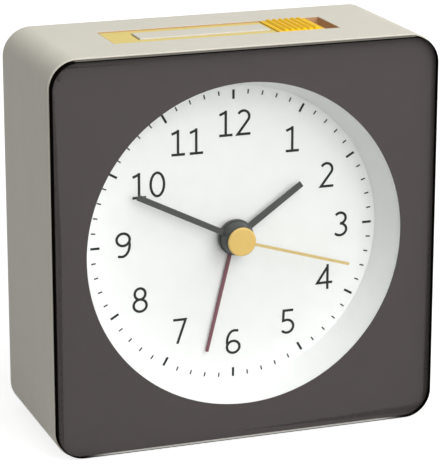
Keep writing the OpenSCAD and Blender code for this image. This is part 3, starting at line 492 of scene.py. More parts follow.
@dataclass(frozen=True)
class Jacket(Look):
    """The printed foil jacket of a dry cell, in two colours."""

    name: str = "cell_jacket"
    colour: Colour = srgb(40, 58, 84)
    roughness: float = 0.32
    uneven: float = 0.12
    band: Colour = srgb(196, 150, 84)
    border: float = 13 * MM
    blur: float = 0.1 * MM
    metallic: float = 0.7
    coat: float = 0.4
    foil: float = 6 * MM
    crease: float = 1.2 * MM
    depth: float = 0.004 * MM

    def fill(self, recipe: Recipe) -> None:
        """Feeds the shader."""
        on_band = recipe.axes()[0].step(self.border, self.border + self.blur)
        recipe.set(
            Base_Color=recipe.mix(on_band, self.colour, self.band),
            Metallic=self.metallic,
            Roughness=self.rough(recipe.noise(self.foil, detail=3)),
            Coat_Weight=self.coat,
        )
        recipe.bump(recipe.noise(self.crease), self.depth)


@dataclass(frozen=True)
class Winding(Look):
    """Enamelled copper wire wound in close turns along Z, with painted shade darkening the
    grooves between turns.
    """

    name: str = "magnet_wire"
    colour: Colour = srgb(190, 96, 44)
    roughness: float = 0.3
    # painted shade: the share of the colour left in the grooves between turns
    factor: float = 0.35
    metallic: float = 0.9
    wire: float = 0.16 * MM
    depth: float = 0.04 * MM

    def fill(self, recipe: Recipe) -> None:
        """Feeds the shader."""
        turns = recipe.axes()[2].wave(self.wire) * 0.5 + 0.5
        recipe.set(
            # painted shade in the grooves between turns, where the bump is low
            Base_Color=recipe.mix(turns, self.shade(), self.colour),
            Metallic=self.metallic,
            Roughness=self.rough(turns),
        )
        recipe.bump(turns, self.depth)


class Finish(Enum):
    """Every finish on the clock, most of them named after the record's material slots."""

    CASE = MouldedPlastic("case_plastic", srgb(218, 214, 200), 0.55, specular=0.25)
    LENS = ClearAcrylic()
    LENS_EDGE = EdgePaintWithPaintedHighlights()
    MASK = Print("mask_print", srgb(76, 71, 71), 0.6, 0.1)
    DIAL = Print("dial_white", srgb(238, 240, 241), 0.6, 0.25)
    INK = Print("dial_ink", srgb(46, 50, 49), 0.6, 0.1)
    HAND = Paint("hand_paint", srgb(78, 80, 80), 0.45, coat=0.05)
    SECOND = Paint("second_paint", srgb(209, 186, 127), 0.45, coat=0.05)
    ALARM = Paint("alarm_paint", srgb(121, 83, 91), 0.45, coat=0.05)
    YELLOW = MouldedPlastic("yellow_plastic", srgb(250, 202, 22), 0.5, specular=0.1)
    PALE = MouldedPlastic("pale_yellow_plastic", srgb(231, 209, 119), 0.5, specular=0.15)
    CAP = MouldedPlastic("cap_plastic", srgb(229, 193, 110), 0.36)
    BROWN = MouldedPlastic("brown_plastic", srgb(194, 154, 116), 0.5, specular=0.3)
    MAROON = MouldedPlastic("maroon_plastic", srgb(122, 50, 62), 0.38)
    BLACK = MouldedPlastic("black_plastic", srgb(34, 34, 36), 0.4)
    NYLON = MouldedPlastic("wheel_nylon", srgb(226, 222, 204), 0.3)
    BOARD = Laminate()
    LEAD = MouldedPlastic("lead_film", srgb(218, 212, 196), 0.35)
    BRASS = Metal("spring_brass", srgb(214, 176, 96))
    WIRE = Winding()
    STEEL = Metal("plated_steel", srgb(196, 198, 200))
    IRON = Metal("soft_iron", srgb(150, 150, 152), 0.36)
    CELL = Jacket()

    def material(self) -> bpy.types.Material:
        """The finish's material, made once."""
        return bpy.data.materials.get(self.value.name + FINISH_ENDING) or self.value.make()


# ---------------- bench


def take(piece: Piece) -> None:
    """Makes a piece the only selected one, and active."""
    bpy.ops.object.select_all(action="DESELECT")
    piece.select_set(True)
    bpy.context.view_layer.objects.active = piece


def adopt(name: str) -> Piece:
    """Applies the transform of the active, selected object and names it."""
    bpy.ops.object.transform_apply(location=True, rotation=True, scale=True)
    piece = bpy.context.object
    piece.name = piece.data.name = name
    return piece


@contextmanager
def editing(piece: Piece, part: str, wanted: Test | None = None) -> Iterator[None]:
    """Opens a piece in edit mode with some of its parts selected.

    Args:
        piece: The piece.
        part: VERT, EDGE or FACE, the parts that are selected.
        wanted: The test for edges or faces; without it all is selected.
    """
    take(piece)
    bpy.ops.object.mode_set(mode="EDIT")
    bpy.ops.mesh.select_mode(type=part)
    bpy.ops.mesh.select_all(action="DESELECT" if wanted else "SELECT")
    if wanted:
        mesh = bmesh.from_edit_mesh(piece.data)
        for item in {"EDGE": mesh.edges, "FACE": mesh.faces}[part]:
            item.select_set(wanted(item))
        bmesh.update_edit_mesh(piece.data)
    yield
    bpy.ops.object.mode_set(mode="OBJECT")


def along_y(edge: Edge) -> bool:
    """Whether an edge runs along Y."""
    run = edge.verts[0].co - edge.verts[1].co
    return max(abs(run.x), abs(run.z)) < WELD


def facing(axis: int) -> Test:
    """A test for the faces that look along an axis."""
    return lambda face: face.normal[axis] > FACING


def sharp_at(axis: int, value: float) -> Test:
    """A test for the sharp edges in the plane where a coordinate has a value."""
    def wanted(edge: Edge) -> bool:
        """Whether an edge is one of them."""
        in_plane = all(abs(vert.co[axis] - value) < WELD for vert in edge.verts)
        return in_plane and len(edge.link_faces) == 2 and edge.calc_face_angle() > SHARP

    return wanted


def apply_modifier(piece: Piece, kind: str, **settings: object) -> None:
    """Adds a modifier with settings and applies it."""
    take(piece)
    modifier = piece.modifiers.new(kind.lower(), kind)
    for key, value in settings.items():
        setattr(modifier, key, value)
    bpy.ops.object.modifier_apply(modifier=modifier.name)


def block(name: str, low: Point, high: Point) -> Piece:
    """A box between two corners."""
    low, high = Vector(low), Vector(high)
    bpy.ops.mesh.primitive_cube_add(size=1, location=(low + high) / 2, scale=high - low)
    return adopt(name)


def slab(name: str, low: Point, high: Point, corner: float) -> Piece:
    """A box between two corners whose edges along Y are round."""
    return round_edges(block(name, low, high), along_y, corner, CORNER_SEGMENTS)


def rod(name: str, radius: float, start: Point, end: Point, sides: int = 96) -> Piece:
    """A round rod from start to end."""
    start, end = Vector(start), Vector(end)
    turn = (end - start).to_track_quat("Z", "Y").to_euler()
    bpy.ops.mesh.primitive_cylinder_add(
        vertices=sides, radius=radius, depth=(end - start).length,
        location=(start + end) / 2, rotation=turn,
    )
    return adopt(name)


def pin(name: str, radius: float, at: Point, near: float, far: float, sides: int = 48) -> Piece:
    """A round rod along Y from near to far; at is the x and z of its axis."""
    return rod(name, radius, (at[0], near, at[1]), (at[0], far, at[1]), sides)


def turned(name: str, profile: Sequence[Point], centre: Point, steps: int = 96) -> Piece:
    """A round piece on an axis along Y, drawn out from a circle step by step.

    Args:
        name: The piece's name.
        profile: Points of its section as (radius, y). The section closes on itself,
            unless it starts and ends on the axis; then its ends are flat.
        centre: x and z of the axis.
        steps: Corners of the circle.

    Returns:
        The piece.
    """
    solid = profile[0][0] == 0
    points = profile[1:-1] if solid else [*profile, profile[0]]
    radius, y = points[0]
    bpy.ops.mesh.primitive_circle_add(
        vertices=steps, radius=radius, location=(centre[0], y, centre[1]),
        rotation=(math.pi / 2, 0, 0),
    )
    piece = adopt(name)
    with editing(piece, "EDGE"):
        for next_radius, next_y in points[1:]:
            share = next_radius / radius
            bpy.ops.mesh.extrude_edges_move(TRANSFORM_OT_translate={"value": (0, next_y - y, 0)})
            bpy.ops.transform.resize(
                value=(share, 1, share), center_override=(centre[0], next_y, centre[1])
            )
            radius, y = next_radius, next_y
        bpy.ops.mesh.select_all(action="SELECT")
        if solid:
            bpy.ops.mesh.fill_holes(sides=0)
        bpy.ops.mesh.remove_doubles(threshold=WELD / 2)
        bpy.ops.mesh.normals_make_consistent(inside=False)
    return piece


def cut(piece: Piece, *tools: Piece, operation: str = "DIFFERENCE") -> Piece:
    """Cuts tools out of a piece, or joins them to it, and removes them."""
    for tool in tools:
        apply_modifier(piece, "BOOLEAN", operation=operation, object=tool, solver="EXACT")
        bpy.data.objects.remove(tool)
    return piece


def fuse(piece: Piece, *tools: Piece) -> Piece:
    """Joins tools to a piece as one solid."""
    return cut(piece, *tools, operation="UNION")


def round_edges(piece: Piece, wanted: Test, radius: float, segments: int = 3) -> Piece:
    """Rounds the edges that answer a test."""
    with editing(piece, "EDGE", wanted):
        bpy.ops.mesh.bevel(offset=radius, segments=segments, affect="EDGES", clamp_overlap=True)
    return piece


def soften(piece: Piece, radius: float, segments: int = 2, angle: float = 40) -> Piece:
    """Rounds the edges sharper than an angle in degrees and shades the piece smooth."""
    apply_modifier(
        piece, "BEVEL", width=radius, segments=segments, limit_method="ANGLE",
        angle_limit=math.radians(angle), use_clamp_overlap=True,
    )
    return smooth(piece)


def smooth(piece: Piece, angle: float = 30) -> Piece:
    """Shades a piece smooth, but for edges sharper than an angle in degrees."""
    take(piece)
    bpy.ops.object.shade_smooth_by_angle(angle=math.radians(angle))
    apply_modifier(piece, "WEIGHTED_NORMAL", keep_sharp=True, weight=80)
    return piece


def two_tone(piece: Piece, first: Finish, second: Finish, wanted: Test) -> None:
    """Gives a piece one finish, and the faces that answer a test another."""
    for finish in (first, second):
        piece.data.materials.append(finish.material())
    with editing(piece, "FACE", wanted):
        piece.active_material_index = 1
        bpy.ops.object.material_slot_assign()


def copy_of(node: str, name: str) -> Piece:
    """A welded copy of a CAD node's mesh, under a new name, with its flat faces made whole."""
    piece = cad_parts[node].copy()
    piece.data = piece.data.copy()
    piece.parent = None
    for key in list(piece.keys()):
        del piece[key]
    bpy.context.scene.collection.objects.link(piece)
    piece.name = piece.data.name = name
    with editing(piece, "VERT"):
        bpy.ops.mesh.remove_doubles(threshold=WELD)
        bpy.ops.mesh.dissolve_limited(angle_limit=FLAT)
    return piece


def fit_out(piece: Piece, body: str, finish: Finish, node: str, slot: str = "") -> None:
    """Gives a finished piece its material and its body, and hides the CAD node that it stands
    for.

    Args:
        piece: The piece, in place.
        body: The body that it rides on.
        finish: Its finish, unless it already has materials of its own.
        node: The CAD node that it replaces.
        slot: The record's material slot, unless it is called what the finish is; not used.
    """
    if len(piece.data.materials) < 2:
        piece.data.materials.clear()
        piece.data.materials.append(finish.material())
    slot = slot or finish.value.name
    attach(piece, body)
    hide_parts(node)
    log.info("%s rides on %s: %d faces", piece.name, body, len(piece.data.polygons))


# ---------------- sub-assemblies


@dataclass
class CaseShell:
    """The one-piece case: four walls, the web behind the rim, posts and bosses."""

    wall: float = 2 * MM
    corner: float = 6.2 * MM
    web: float = 1.8 * MM
    edge: float = 0.16 * MM
    slot_edge: float = 0.12 * MM
    window: float = 36.6 * MM
    post: float = 2.6 * MM
    post_end: float = 2.2 * MM
    boss: float = 2.4 * MM
    boss_in: float = 9 * MM
    boss_end: float = 1.8 * MM
    rib: float = 0.6 * MM
    bore: float = 1 * MM
    bore_depth: float = 7 * MM
    stake: float = 0.9 * MM
    stake_at: Pair = (27.4 * MM, 5.5 * MM)
    stake_length: float = 2.7 * MM

    def build(self) -> None:
        """Models the case and dresses it."""
        low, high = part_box("case_shell")
        self.low, self.high = low, high
        self.middle = (low + high) / 2
        piece = slab("case_body", low, high, self.corner)
        with editing(piece, "FACE", facing(1)):
            bpy.ops.mesh.inset(thickness=self.wall, use_even_offset=True)
            inward = -(high.y - low.y - self.web)
            bpy.ops.mesh.extrude_region_move(TRANSFORM_OT_translate={"value": (0, inward, 0)})
        round_edges(piece, sharp_at(1, low.y), self.edge, segments=4)
        round_edges(piece, sharp_at(1, high.y), self.edge / 2)
        self.open(piece)
        self.stand(piece)
        smooth(piece)
        fit_out(piece, "case", Finish.CASE, "case_shell")

    def open(self, piece: Piece) -> None:
        """Cuts the round window and the slot for the controls."""
        axis = (self.middle.x, self.middle.z)
        ends = (self.low.y - self.wall, self.low.y + 2 * self.wall)
        cut(piece, pin("window_tool", self.window, axis, *ends, sides=FINE_SIDES))
        half = Vector((*HALF_SLOT, 2 * self.wall))
        centre = Vector((self.middle.x, self.middle.y, self.high.z))
        cut(piece, block("slot_tool", centre - half, centre + half))
        sharp = sharp_at(2, self.high.z)

        def on_rim(edge: Edge) -> bool:
            """Whether an edge is on the rim of the slot."""
            away = edge.verts[0].co - centre
            return sharp(edge) and all(abs(away[i]) < half[i] + CLEAR for i in (0, 1))

        round_edges(piece, on_rim, self.slot_edge)

    def stand(self, piece: Piece) -> None:
        """Adds the corner posts with their ribs, the ring's bosses and the tray's stakes."""
        front = self.low.y + self.web - OVERLAP
        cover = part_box("rear_cover")[1].y - self.post_end
        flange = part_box("dial_ring")[1].y - self.boss_end
        wide, tall = self.high.x - self.wall, self.high.z - self.middle.z - self.wall
        reach = self.corner - self.wall
        for across, up in CORNERS:
            at = x, z = (across * (wide - reach), self.middle.z + up * (tall - reach))
            fuse(piece, pin("post", self.post, at, front, cover))
            left, right = sorted((x, across * (wide + OVERLAP)))
            fuse(piece, block("rib", (left, front, z - self.rib), (right, cover, z + self.rib)))
            foot, top = sorted((z, self.middle.z + up * (tall + OVERLAP)))
            fuse(piece, block("rib", (x - self.rib, front, foot), (x + self.rib, cover, top)))
            ends = (cover - self.bore_depth, cover + CLEAR)
            cut(piece, pin("bore", self.bore, at, *ends, sides=32))
            at = (across * (wide - self.boss_in), self.middle.z + up * (tall - self.boss_in))
            fuse(piece, pin("boss", self.boss, at, front, flange))
            cut(piece, pin("bore", self.bore, at, front, flange + CLEAR, sides=32))
            x, y = across * self.stake_at[0], self.middle.y + up * self.stake_at[1]
            ceiling = self.high.z - self.wall
            ends = ((x, y, ceiling - self.stake_length), (x, y, ceiling + OVERLAP))
            fuse(piece, rod("stake", self.stake, *ends, sides=32))


@dataclass
class FrontWindow:
    """The clear lens over the whole front, and the print behind it."""

    corner: float = 5.9 * MM
    edge: float = 0.3 * MM
    window: float = 34.9 * MM
    flat: float = 0.999  # least share of a flat face's normal along Y

    def build(self) -> None:
        """Models the lens and the mask and dresses them."""
        self.lens()
        self.mask()

    def lens(self) -> None:
        """The lens, whose rim is blackened."""
        low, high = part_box("front_lens")
        piece = slab("lens_plate", low, high, self.corner)
        round_edges(piece, sharp_at(1, low.y), self.edge, segments=4)
        two_tone(
            piece, Finish.LENS, Finish.LENS_EDGE, lambda face: abs(face.normal.y) < self.flat
        )
        smooth(piece)
        fit_out(piece, "case", Finish.LENS, "front_lens", slot="clear_lens")

    def mask(self) -> None:
        """The dark print with its round window."""
        low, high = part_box("window_mask")
        piece = slab("printed_mask", low, high, self.corner)
        centre = ((low.x + high.x) / 2, (low.z + high.z) / 2)
        ends = (low.y - CLEAR, high.y + CLEAR)
        cut(piece, pin("window_tool", self.window, centre, *ends, sides=FINE_SIDES))
        smooth(piece)
        fit_out(piece, "case", Finish.MASK, "window_mask")


@dataclass
class DialFace:
    """The white ring between window and dial, and the dial with its marks."""

    window: float = 35 * MM
    view: float = 32.5 * MM
    wall: float = 1.2 * MM
    lip: float = 0.25 * MM
    flange: float = 1.2 * MM
    notch: float = 9 * MM
    boss: float = 2.2 * MM
    boss_at: Pair = (30.74 * MM, 22.34 * MM)
    boss_from: float = 3.6 * MM
    dial: float = 34.5 * MM
    dial_edge: float = 0.05 * MM
    hole: float = 2.65 * MM

    def build(self) -> None:
        """Models the ring and the dial and dresses them with the print."""
        low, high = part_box("dial")
        self.centre = (0.0, (low.z + high.z) / 2)
        self.front, self.back = low.y, high.y
        self.ring()
        profile = [
            (self.hole, low.y), (self.dial, low.y), (self.dial, high.y), (self.hole, high.y),
        ]
        piece = soften(turned("dial_plate", profile, self.centre, steps=160), self.dial_edge)
        fit_out(piece, "case", Finish.DIAL, "dial")

    def ring(self) -> None:
        """The ring with its flange and the bosses that hold the movement."""
        low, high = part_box("dial_ring")
        outer = self.window + self.wall
        inner = self.window + self.lip
        profile = [
            (inner, low.y), (outer, low.y), (outer, self.front), (self.view, self.front),
            (self.view, self.front - self.lip), (self.window, low.y + self.lip),
        ]
        piece = turned("dial_ring_body", profile, self.centre, FINE_SIDES)
        under = self.front - self.flange
        plate = block("flange", (low.x, under, low.z), (high.x, self.front, high.z))
        cut(plate, pin("ring_tool", inner, self.centre, low.y, self.back, FINE_SIDES))
        middle = self.centre[1]
        reach = Vector((self.notch, 2 * self.flange, self.notch))
        for across, up in CORNERS:
            corner = Vector((across * high.x, self.front, middle + up * (high.z - middle)))
            cut(plate, block("notch", corner - reach, corner + reach))
            at = (across * self.boss_at[0], middle + up * self.boss_at[1])
            fuse(plate, pin("boss", self.boss, at, self.front - self.boss_from, self.back))
        fuse(piece, plate)
        smooth(piece)
        fit_out(piece, "case", Finish.DIAL, "dial_ring")


@dataclass
class Hand:
    """One hand: a straight blade on a round boss that narrows to the front.

    Heights are above the dial, and the angle is in degrees, clockwise from the top.
    """

    name: str
    body: str
    node: str
    finish: Finish
    angle: float
    length: float
    width: float
    tip: float
    boss: float
    front: float
    bore: float
    boss_from: float
    boss_to: float
    blade_from: float
    blade: float = 0.3 * MM
    edge: float = 0.06 * MM

    def build(self, dial: float, centre: Point) -> None:
        """Models the hand pointing up, turns it to its angle and dresses it.

        Args:
            dial: y of the dial's front.
            centre: x and z of the hands' axis.
        """
        near, far = dial - self.boss_to, dial - self.boss_from
        half, back = self.width / 2, dial - self.blade_from
        blade = block(self.name, (-half, back - self.blade, 0), (half, back, self.length))
        with editing(blade, "FACE", facing(2)):
            narrower = (self.tip / self.width, 1, 1)
            bpy.ops.transform.resize(value=narrower, center_override=(0, 0, self.length))

        def is_outer(edge: Edge) -> bool:
            """Whether the middle of an edge is in the outer half."""
            return edge.verts[0].co.z + edge.verts[1].co.z > self.length

        round_edges(blade, is_outer, self.edge, segments=2)
        blade.rotation_euler.y = math.radians(self.angle)
        blade.location = (centre[0], 0, centre[1])
        take(blade)
        adopt(self.name)
        chamfer = 2 * self.edge
        profile = [
            (self.bore, near), (self.front - chamfer, near), (self.front, near + chamfer),
            (self.boss, far - chamfer), (self.boss, far - chamfer / 2),
            (self.boss - chamfer / 2, far), (self.bore, far),
        ]
        hub = turned("hub", profile, centre)
        cut(blade, pin("bore", self.bore + self.edge, centre, near - CLEAR, dial, sides=96))
        piece = fuse(hub, blade)
        piece.name = piece.data.name = self.name
        smooth(piece)
        fit_out(piece, self.body, self.finish, self.node)


@dataclass
class Hands:
    """The four hands and the cap over them.

    The cap's rim is given in edges, in from its side and back from its front.
    """

    cap: float = 3.1 * MM
    cap_edge: float = 0.16 * MM
    cap_rim: tuple[Pair, ...] = ((2.5, 0), (1, 0.25), (0.3, 0.8), (0, 2))
    cap_angle: float = 50

    def build(self) -> None:
        """Models every hand and the cap on the one axis."""
        low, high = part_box("dial")
        centre = (0.0, (low.z + high.z) / 2)
        for hand in (
            Hand(
                "alarm_pointer", "alarm_work", "alarm_hand", Finish.ALARM,
                angle=193.8, length=25.9 * MM, width=0.85 * MM, tip=0.68 * MM,
                boss=3.4 * MM, front=3.4 * MM, bore=2.05 * MM,
                boss_from=0.4 * MM, boss_to=1 * MM, blade_from=0.5 * MM,
            ),
            Hand(
                "hour_pointer", "hour_work", "hour_hand", Finish.HAND,
                angle=55, length=18.1 * MM, width=1.5 * MM, tip=1.35 * MM,
                boss=3.9 * MM, front=3.9 * MM, bore=1.55 * MM,
                boss_from=1.3 * MM, boss_to=2 * MM, blade_from=1.5 * MM,
            ),
            Hand(
                "minute_pointer", "minute_work", "minute_hand", Finish.HAND,
                angle=296.5, length=24.6 * MM, width=1.25 * MM, tip=1.25 * MM,
                boss=3.6 * MM, front=3.15 * MM, bore=1.05 * MM,
                boss_from=2.3 * MM, boss_to=4.7 * MM, blade_from=2.5 * MM,
            ),
            Hand(
                "second_pointer", "seconds_work", "second_hand", Finish.SECOND,
                angle=106.8, length=25.6 * MM, width=0.6 * MM, tip=0.6 * MM,
                boss=1.6 * MM, front=1.6 * MM, bore=0.5 * MM,
                boss_from=5 * MM, boss_to=5.3 * MM, blade_from=5 * MM,
            ),
        ):
            hand.build(low.y, centre)
        near, far = (corner.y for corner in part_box("hand_cap"))
        rim = [(self.cap - a * self.cap_edge, near + b * self.cap_edge) for a, b in self.cap_rim]
        profile = [(0, near), *rim, (self.cap, far), (0, far)]
        piece = smooth(turned("cap_button", profile, centre), self.cap_angle)
        fit_out(piece, "seconds_work", Finish.CAP, "hand_cap", slot="pale_yellow_plastic")


@dataclass
class TopControls:
    """The snooze key in its frame over its domed contact, and the alarm slider beside it."""

    edge: float = 0.14 * MM
    key_edge: float = 0.12 * MM
    lip: float = 1 * MM
    gap: float = 0.2 * MM
    seat: float = 0.01 * MM
    flange: float = 0.8 * MM
    plunger: float = 1.5 * MM
    plunger_in: float = 0.4 * MM
    travel: float = 0.9 * MM
    slider_gap: float = 0.05 * MM
    rib: float = 0.62 * MM
    rib_top: float = 0.42 * MM
    rib_end: float = 0.8
    pitch: float = 1.38 * MM
    ribs: int = 6
    foot: Pair = (2 * MM, 2.5 * MM)
    lining: float = 0.14 * MM
    tray_edge: float = 0.08 * MM

    def build(self) -> None:
        """Models the key, its contact, the frame, the slider and the tray."""
        self.key()
        self.contact()
        self.frame()
        self.slider()
        self.tray()

    def tray(self) -> None:
        """The tray, whose thin rim lines the slot."""
        case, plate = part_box("case_shell"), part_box("snooze_frame")
        half = Vector((*HALF_SLOT, 0))
        wall = Vector((self.lining, self.lining, -CLEAR))
        low = Vector((0, (case[0].y + case[1].y) / 2, plate[0].z - self.seat)) - half
        high = Vector((0, low.y + half.y, case[1].z - self.lining / 2)) + half
        rim = block("rim", low, high)
        cut(rim, block("rim_tool", low + wall, high - wall))
        piece = soften(copy_of("control_tray", "control_tray_body"), self.tray_edge)
        fuse(piece, rim)
        smooth(piece)
        fit_out(piece, "case", Finish.BROWN, "control_tray")

    def key(self) -> None:
        """The key: a bar with soft edges over its flange and plunger."""
        low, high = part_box("snooze_key")
        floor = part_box("snooze_frame")[0].z - self.gap
        lip = Vector((self.lip, self.lip, 0))
        self.key_low = Vector((low.x, low.y, floor)) + lip
        self.key_high = high - lip
        piece = block("snooze_key_bar", self.key_low, self.key_high)
        round_edges(piece, sharp_at(2, high.z), self.key_edge, segments=4)
        under = floor - self.flange
        flange = block("flange", (low.x, low.y, under), (high.x, high.y, floor + self.seat))
        fuse(piece, soften(flange, self.edge))
        x, y, _ = (self.key_low + self.key_high) / 2
        ends = ((x, y, low.z), (x, y, floor - self.plunger_in))
        plunger = rod("plunger", self.plunger, *ends, sides=48)
        fuse(piece, soften(plunger, self.edge))
        smooth(piece)
        fit_out(piece, "snooze", Finish.CASE, "snooze_key")

    def contact(self) -> None:
        """The domed leaf under the key."""
        piece = smooth(copy_of("snooze_contact", "snooze_contact_dome"))
        fit_out(piece, "case", Finish.BRASS, "snooze_contact")
        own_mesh(piece)

    def frame(self) -> None:
        """The pale frame round the key."""
        piece = block("snooze_frame_plate", *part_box("snooze_frame"))
        gap = Vector((self.gap, self.gap, CLEAR))
        cut(piece, block("key_tool", self.key_low - gap, self.key_high + gap))
        soften(piece, self.edge, segments=3)
        fit_out(piece, "case", Finish.PALE, "snooze_frame")

    def slider(self) -> None:
        """The ribbed slider with its foot."""
        low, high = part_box("alarm_slider")
        top = high.z - self.rib_top
        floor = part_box("snooze_frame")[0].z + self.slider_gap
        piece = block("alarm_slider_body", (low.x, low.y, floor), (high.x, high.y, top))
        soften(piece, self.edge, segments=3)
        middle = (low + high) / 2
        for i in range(self.ribs):
            x = middle.x + (i - (self.ribs - 1) / 2) * self.pitch
            ends = [(x, y, high.z - self.rib) for y in (low.y + self.edge, high.y - self.edge)]
            bar = rod("rib", self.rib, *ends, sides=32)
            fuse(piece, soften(bar, self.rib_end * self.rib, segments=5))
        wide, deep = self.foot
        foot_low = (middle.x - wide, middle.y - deep, low.z)
        foot_high = (middle.x + wide, middle.y + deep, floor + OVERLAP)
        fuse(piece, block("foot", foot_low, foot_high))
        smooth(piece)
        fit_out(piece, "slider", Finish.YELLOW, "alarm_slider")


@dataclass
class RearFittings:
    """The rear cover, the battery door, the knobs and the screws."""

    edge: float = 0.22 * MM

    def build(self) -> None:
        """Softens the moulded pieces of the rear and dresses them."""
        fine = self.edge / 2
        for node, name, body, finish, edge in (
            ("rear_cover", "rear_cover_plate", "case", Finish.CASE, self.edge),
            ("battery_door", "battery_door_panel", "door", Finish.CASE, fine),
            ("time_knob", "time_knob_button", "time_setter", Finish.YELLOW, fine),
            ("alarm_knob", "alarm_knob_button", "alarm_setter", Finish.MAROON, fine),
            ("cover_screws", "cover_screw_set", "case", Finish.STEEL, self.edge / 3),
        ):
            fit_out(soften(copy_of(node, name), edge), body, finish, node)


@dataclass
class BatteryBay:
    """The cell with its button, and the two contacts."""

    shoulder: float = 1.2 * MM
    edge: float = 0.9 * MM
    rim: float = 1.1 * MM
    dish: float = 0.25 * MM
    flat: float = 0.98  # least share of an end face's normal along X
    button: float = 2.65 * MM
    button_edge: float = 0.5 * MM
    sheet: float = 0.06 * MM

    def build(self) -> None:
        """Models the cell and softens the contacts."""
        self.cell()
        for node in ("positive_contact", "negative_contact"):
            piece = soften(copy_of(node, node + "_spring"), self.sheet)
            fit_out(piece, "case", Finish.STEEL, node)

    def cell(self) -> None:
        """The cell: a jacket over a can, two dished ends and a button."""
        low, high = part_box("battery")
        middle, radius = (low + high) / 2, (high.z - low.z) / 2
        shoulder = high.x - self.shoulder
        at = (middle.y, middle.z)
        piece = rod("cell", radius, (low.x, *at), (shoulder, *at))
        for end in (low.x, shoulder):
            round_edges(piece, sharp_at(0, end), self.edge, segments=4)

        def is_end(face: Face) -> bool:
            """Whether a face is at an end of the can."""
            return abs(face.normal.x) > self.flat

        two_tone(piece, Finish.CELL, Finish.STEEL, is_end)
        with editing(piece, "FACE", is_end):
            bpy.ops.mesh.inset(thickness=self.rim)
            share = 1 - 2 * self.dish / (shoulder - low.x)
            bpy.ops.transform.resize(value=(share, 1, 1), center_override=middle)
        ends = ((shoulder - self.rim, *at), (high.x, *at))
        button = rod("button", self.button, *ends, sides=64)
        round_edges(button, sharp_at(0, high.x), self.button_edge, segments=4)
        button.data.materials.append(Finish.STEEL.material())
        fuse(piece, button)
        smooth(piece)
        fit_out(piece, "case", Finish.CELL, "battery")


@dataclass
class Internals:
    """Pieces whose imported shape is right: they only get their finish."""

    finishes: dict[str, tuple[str, ...]] = field(default_factory=lambda: {
        "INK": ("dial_marks", "dial_numerals"),
        "BLACK": ("front_plate", "rear_housing", "driver_chip", "sounder"),
        "NYLON": (
            "rotor_pinion", "intermediate_wheel", "seconds_wheel", "third_wheel",
            "minute_arbor", "motion_wheel", "hour_wheel", "alarm_wheel", "time_shaft",
            "alarm_shaft", "coil_bobbin",
        ),
        "BRASS": ("centre_wheel", "alarm_contact", "slider_contact"),
        "STEEL": (
            "quartz_crystal", "rotor_magnet", "ring_screws", "plate_screws", "housing_screws",
        ),
        "IRON": ("stator",),
        "BOARD": ("control_board", "circuit_board"),
        "LEAD": ("ribbon_lead", "sounder_lead"),
        "WIRE": ("coil_winding",),
    })

    def build(self) -> None:
        """Gives each node its finish."""
        for finish, nodes in self.finishes.items():
            for node in nodes:
                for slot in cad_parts[node].material_slots:
                    slot.material = Finish[finish].material()
            log.info("%s on %s", finish, ", ".join(nodes))


# ---------------- studio


@dataclass(frozen=True)
class Softbox:
    """A square lamp at a place, turned towards a point."""

    name: str
    place: Point
    aim: Point
    size: float
    watts: float

    def build(self) -> None:
        """Hangs the lamp."""
        turn = (Vector(self.aim) - Vector(self.place)).to_track_quat("-Z", "Y").to_euler()
        bpy.ops.object.light_add(type="AREA", location=self.place, rotation=turn)
        lamp = bpy.context.object
        lamp.name = self.name
        lamp.data.shape = "SQUARE"
        lamp.data.size = self.size
        lamp.data.energy = self.watts


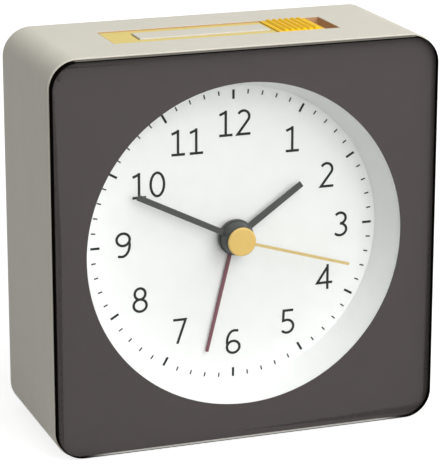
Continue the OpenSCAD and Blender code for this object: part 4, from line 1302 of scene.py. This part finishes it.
@dataclass
class Studio:
    """Floor, light and camera."""

    eye: Point = (-172.41 * MM, -479.74 * MM, 189.22 * MM)
    turn: Point = (73.749, -0.026, -19.802)
    focal_px: float = 2469.8
    frame_px: int = 467
    sensor: float = 36
    floor_size: float = 6.0
    floor_lift: float = 0.8
    floor_tone: Colour = srgb(180, 180, 180)
    floor_roughness: float = 0.9
    floor_reach: Pair = (0.12, 0.6)
    ambient: float = 0.37
    lamps: tuple[Softbox, ...] = (
        Softbox("top_softbox", (0.2, -0.25, 0.55), (0.02, 0.0, 0.04), size=0.5, watts=2.12),
        Softbox("front_softbox", (0.2, -0.95, 0.38), (0.0, 0.0, 0.04), size=1.0, watts=8.8),
    )

    def build(self) -> None:
        """Sets the stage."""
        bpy.context.scene.view_settings.view_transform = "Standard"
        self.camera()
        self.floor()
        self.world()
        for lamp in self.lamps:
            lamp.build()

    def camera(self) -> None:
        """The camera at the object's viewing angle."""
        turn = [math.radians(angle) for angle in self.turn]
        bpy.ops.object.camera_add(location=self.eye, rotation=turn)
        camera = bpy.context.object
        camera.data.sensor_width = self.sensor
        camera.data.lens = self.focal_px / self.frame_px * self.sensor
        bpy.context.scene.camera = camera

    def floor(self) -> None:
        """A pale floor that shows white and keeps the clock's shadow."""
        bpy.ops.mesh.primitive_plane_add(size=self.floor_size)
        plane = bpy.context.object
        plane.name = "studio_floor"
        recipe = Recipe("studio_floor")
        away = recipe.node("ShaderNodeVectorMath", {0: recipe.place}, operation="LENGTH")
        edge = Number(recipe, away.outputs["Value"]).step(*self.floor_reach)
        glow = recipe.background_share() * (edge * (1 - self.floor_lift) + self.floor_lift)
        recipe.set(
            Base_Color=self.floor_tone,
            Roughness=self.floor_roughness,
            Specular_IOR_Level=0.0,
            Emission_Color=recipe.mix(glow, BLACK, WHITE),
            Emission_Strength=1.0,
        )
        plane.data.materials.append(recipe.material)

    def world(self) -> None:
        """Soft ambient light, and white where it is seen."""
        world = bpy.data.worlds.new("studio_world")
        bpy.context.scene.world = world
        world.use_nodes = True
        graph = Graph(world.node_tree)
        light = graph.node("ShaderNodeBackground", {"Strength": self.ambient})
        seen = graph.node("ShaderNodeBackground", {"Color": WHITE})
        shares = {0: graph.background_share(), 1: light.outputs[0], 2: seen.outputs[0]}
        mixed = graph.node("ShaderNodeMixShader", shares)
        graph.node("ShaderNodeOutputWorld", {"Surface": mixed.outputs[0]})


def main() -> None:
    """Builds the stage and the clock."""
    logging.basicConfig(level=logging.INFO, format="%(message)s")
    for part in (
        Studio(), CaseShell(), FrontWindow(), DialFace(), Hands(), TopControls(),
        RearFittings(), BatteryBay(), Internals(),
    ):
        log.info("building %s", type(part).__name__)
        part.build()


if __name__ == "__main__":
    main()
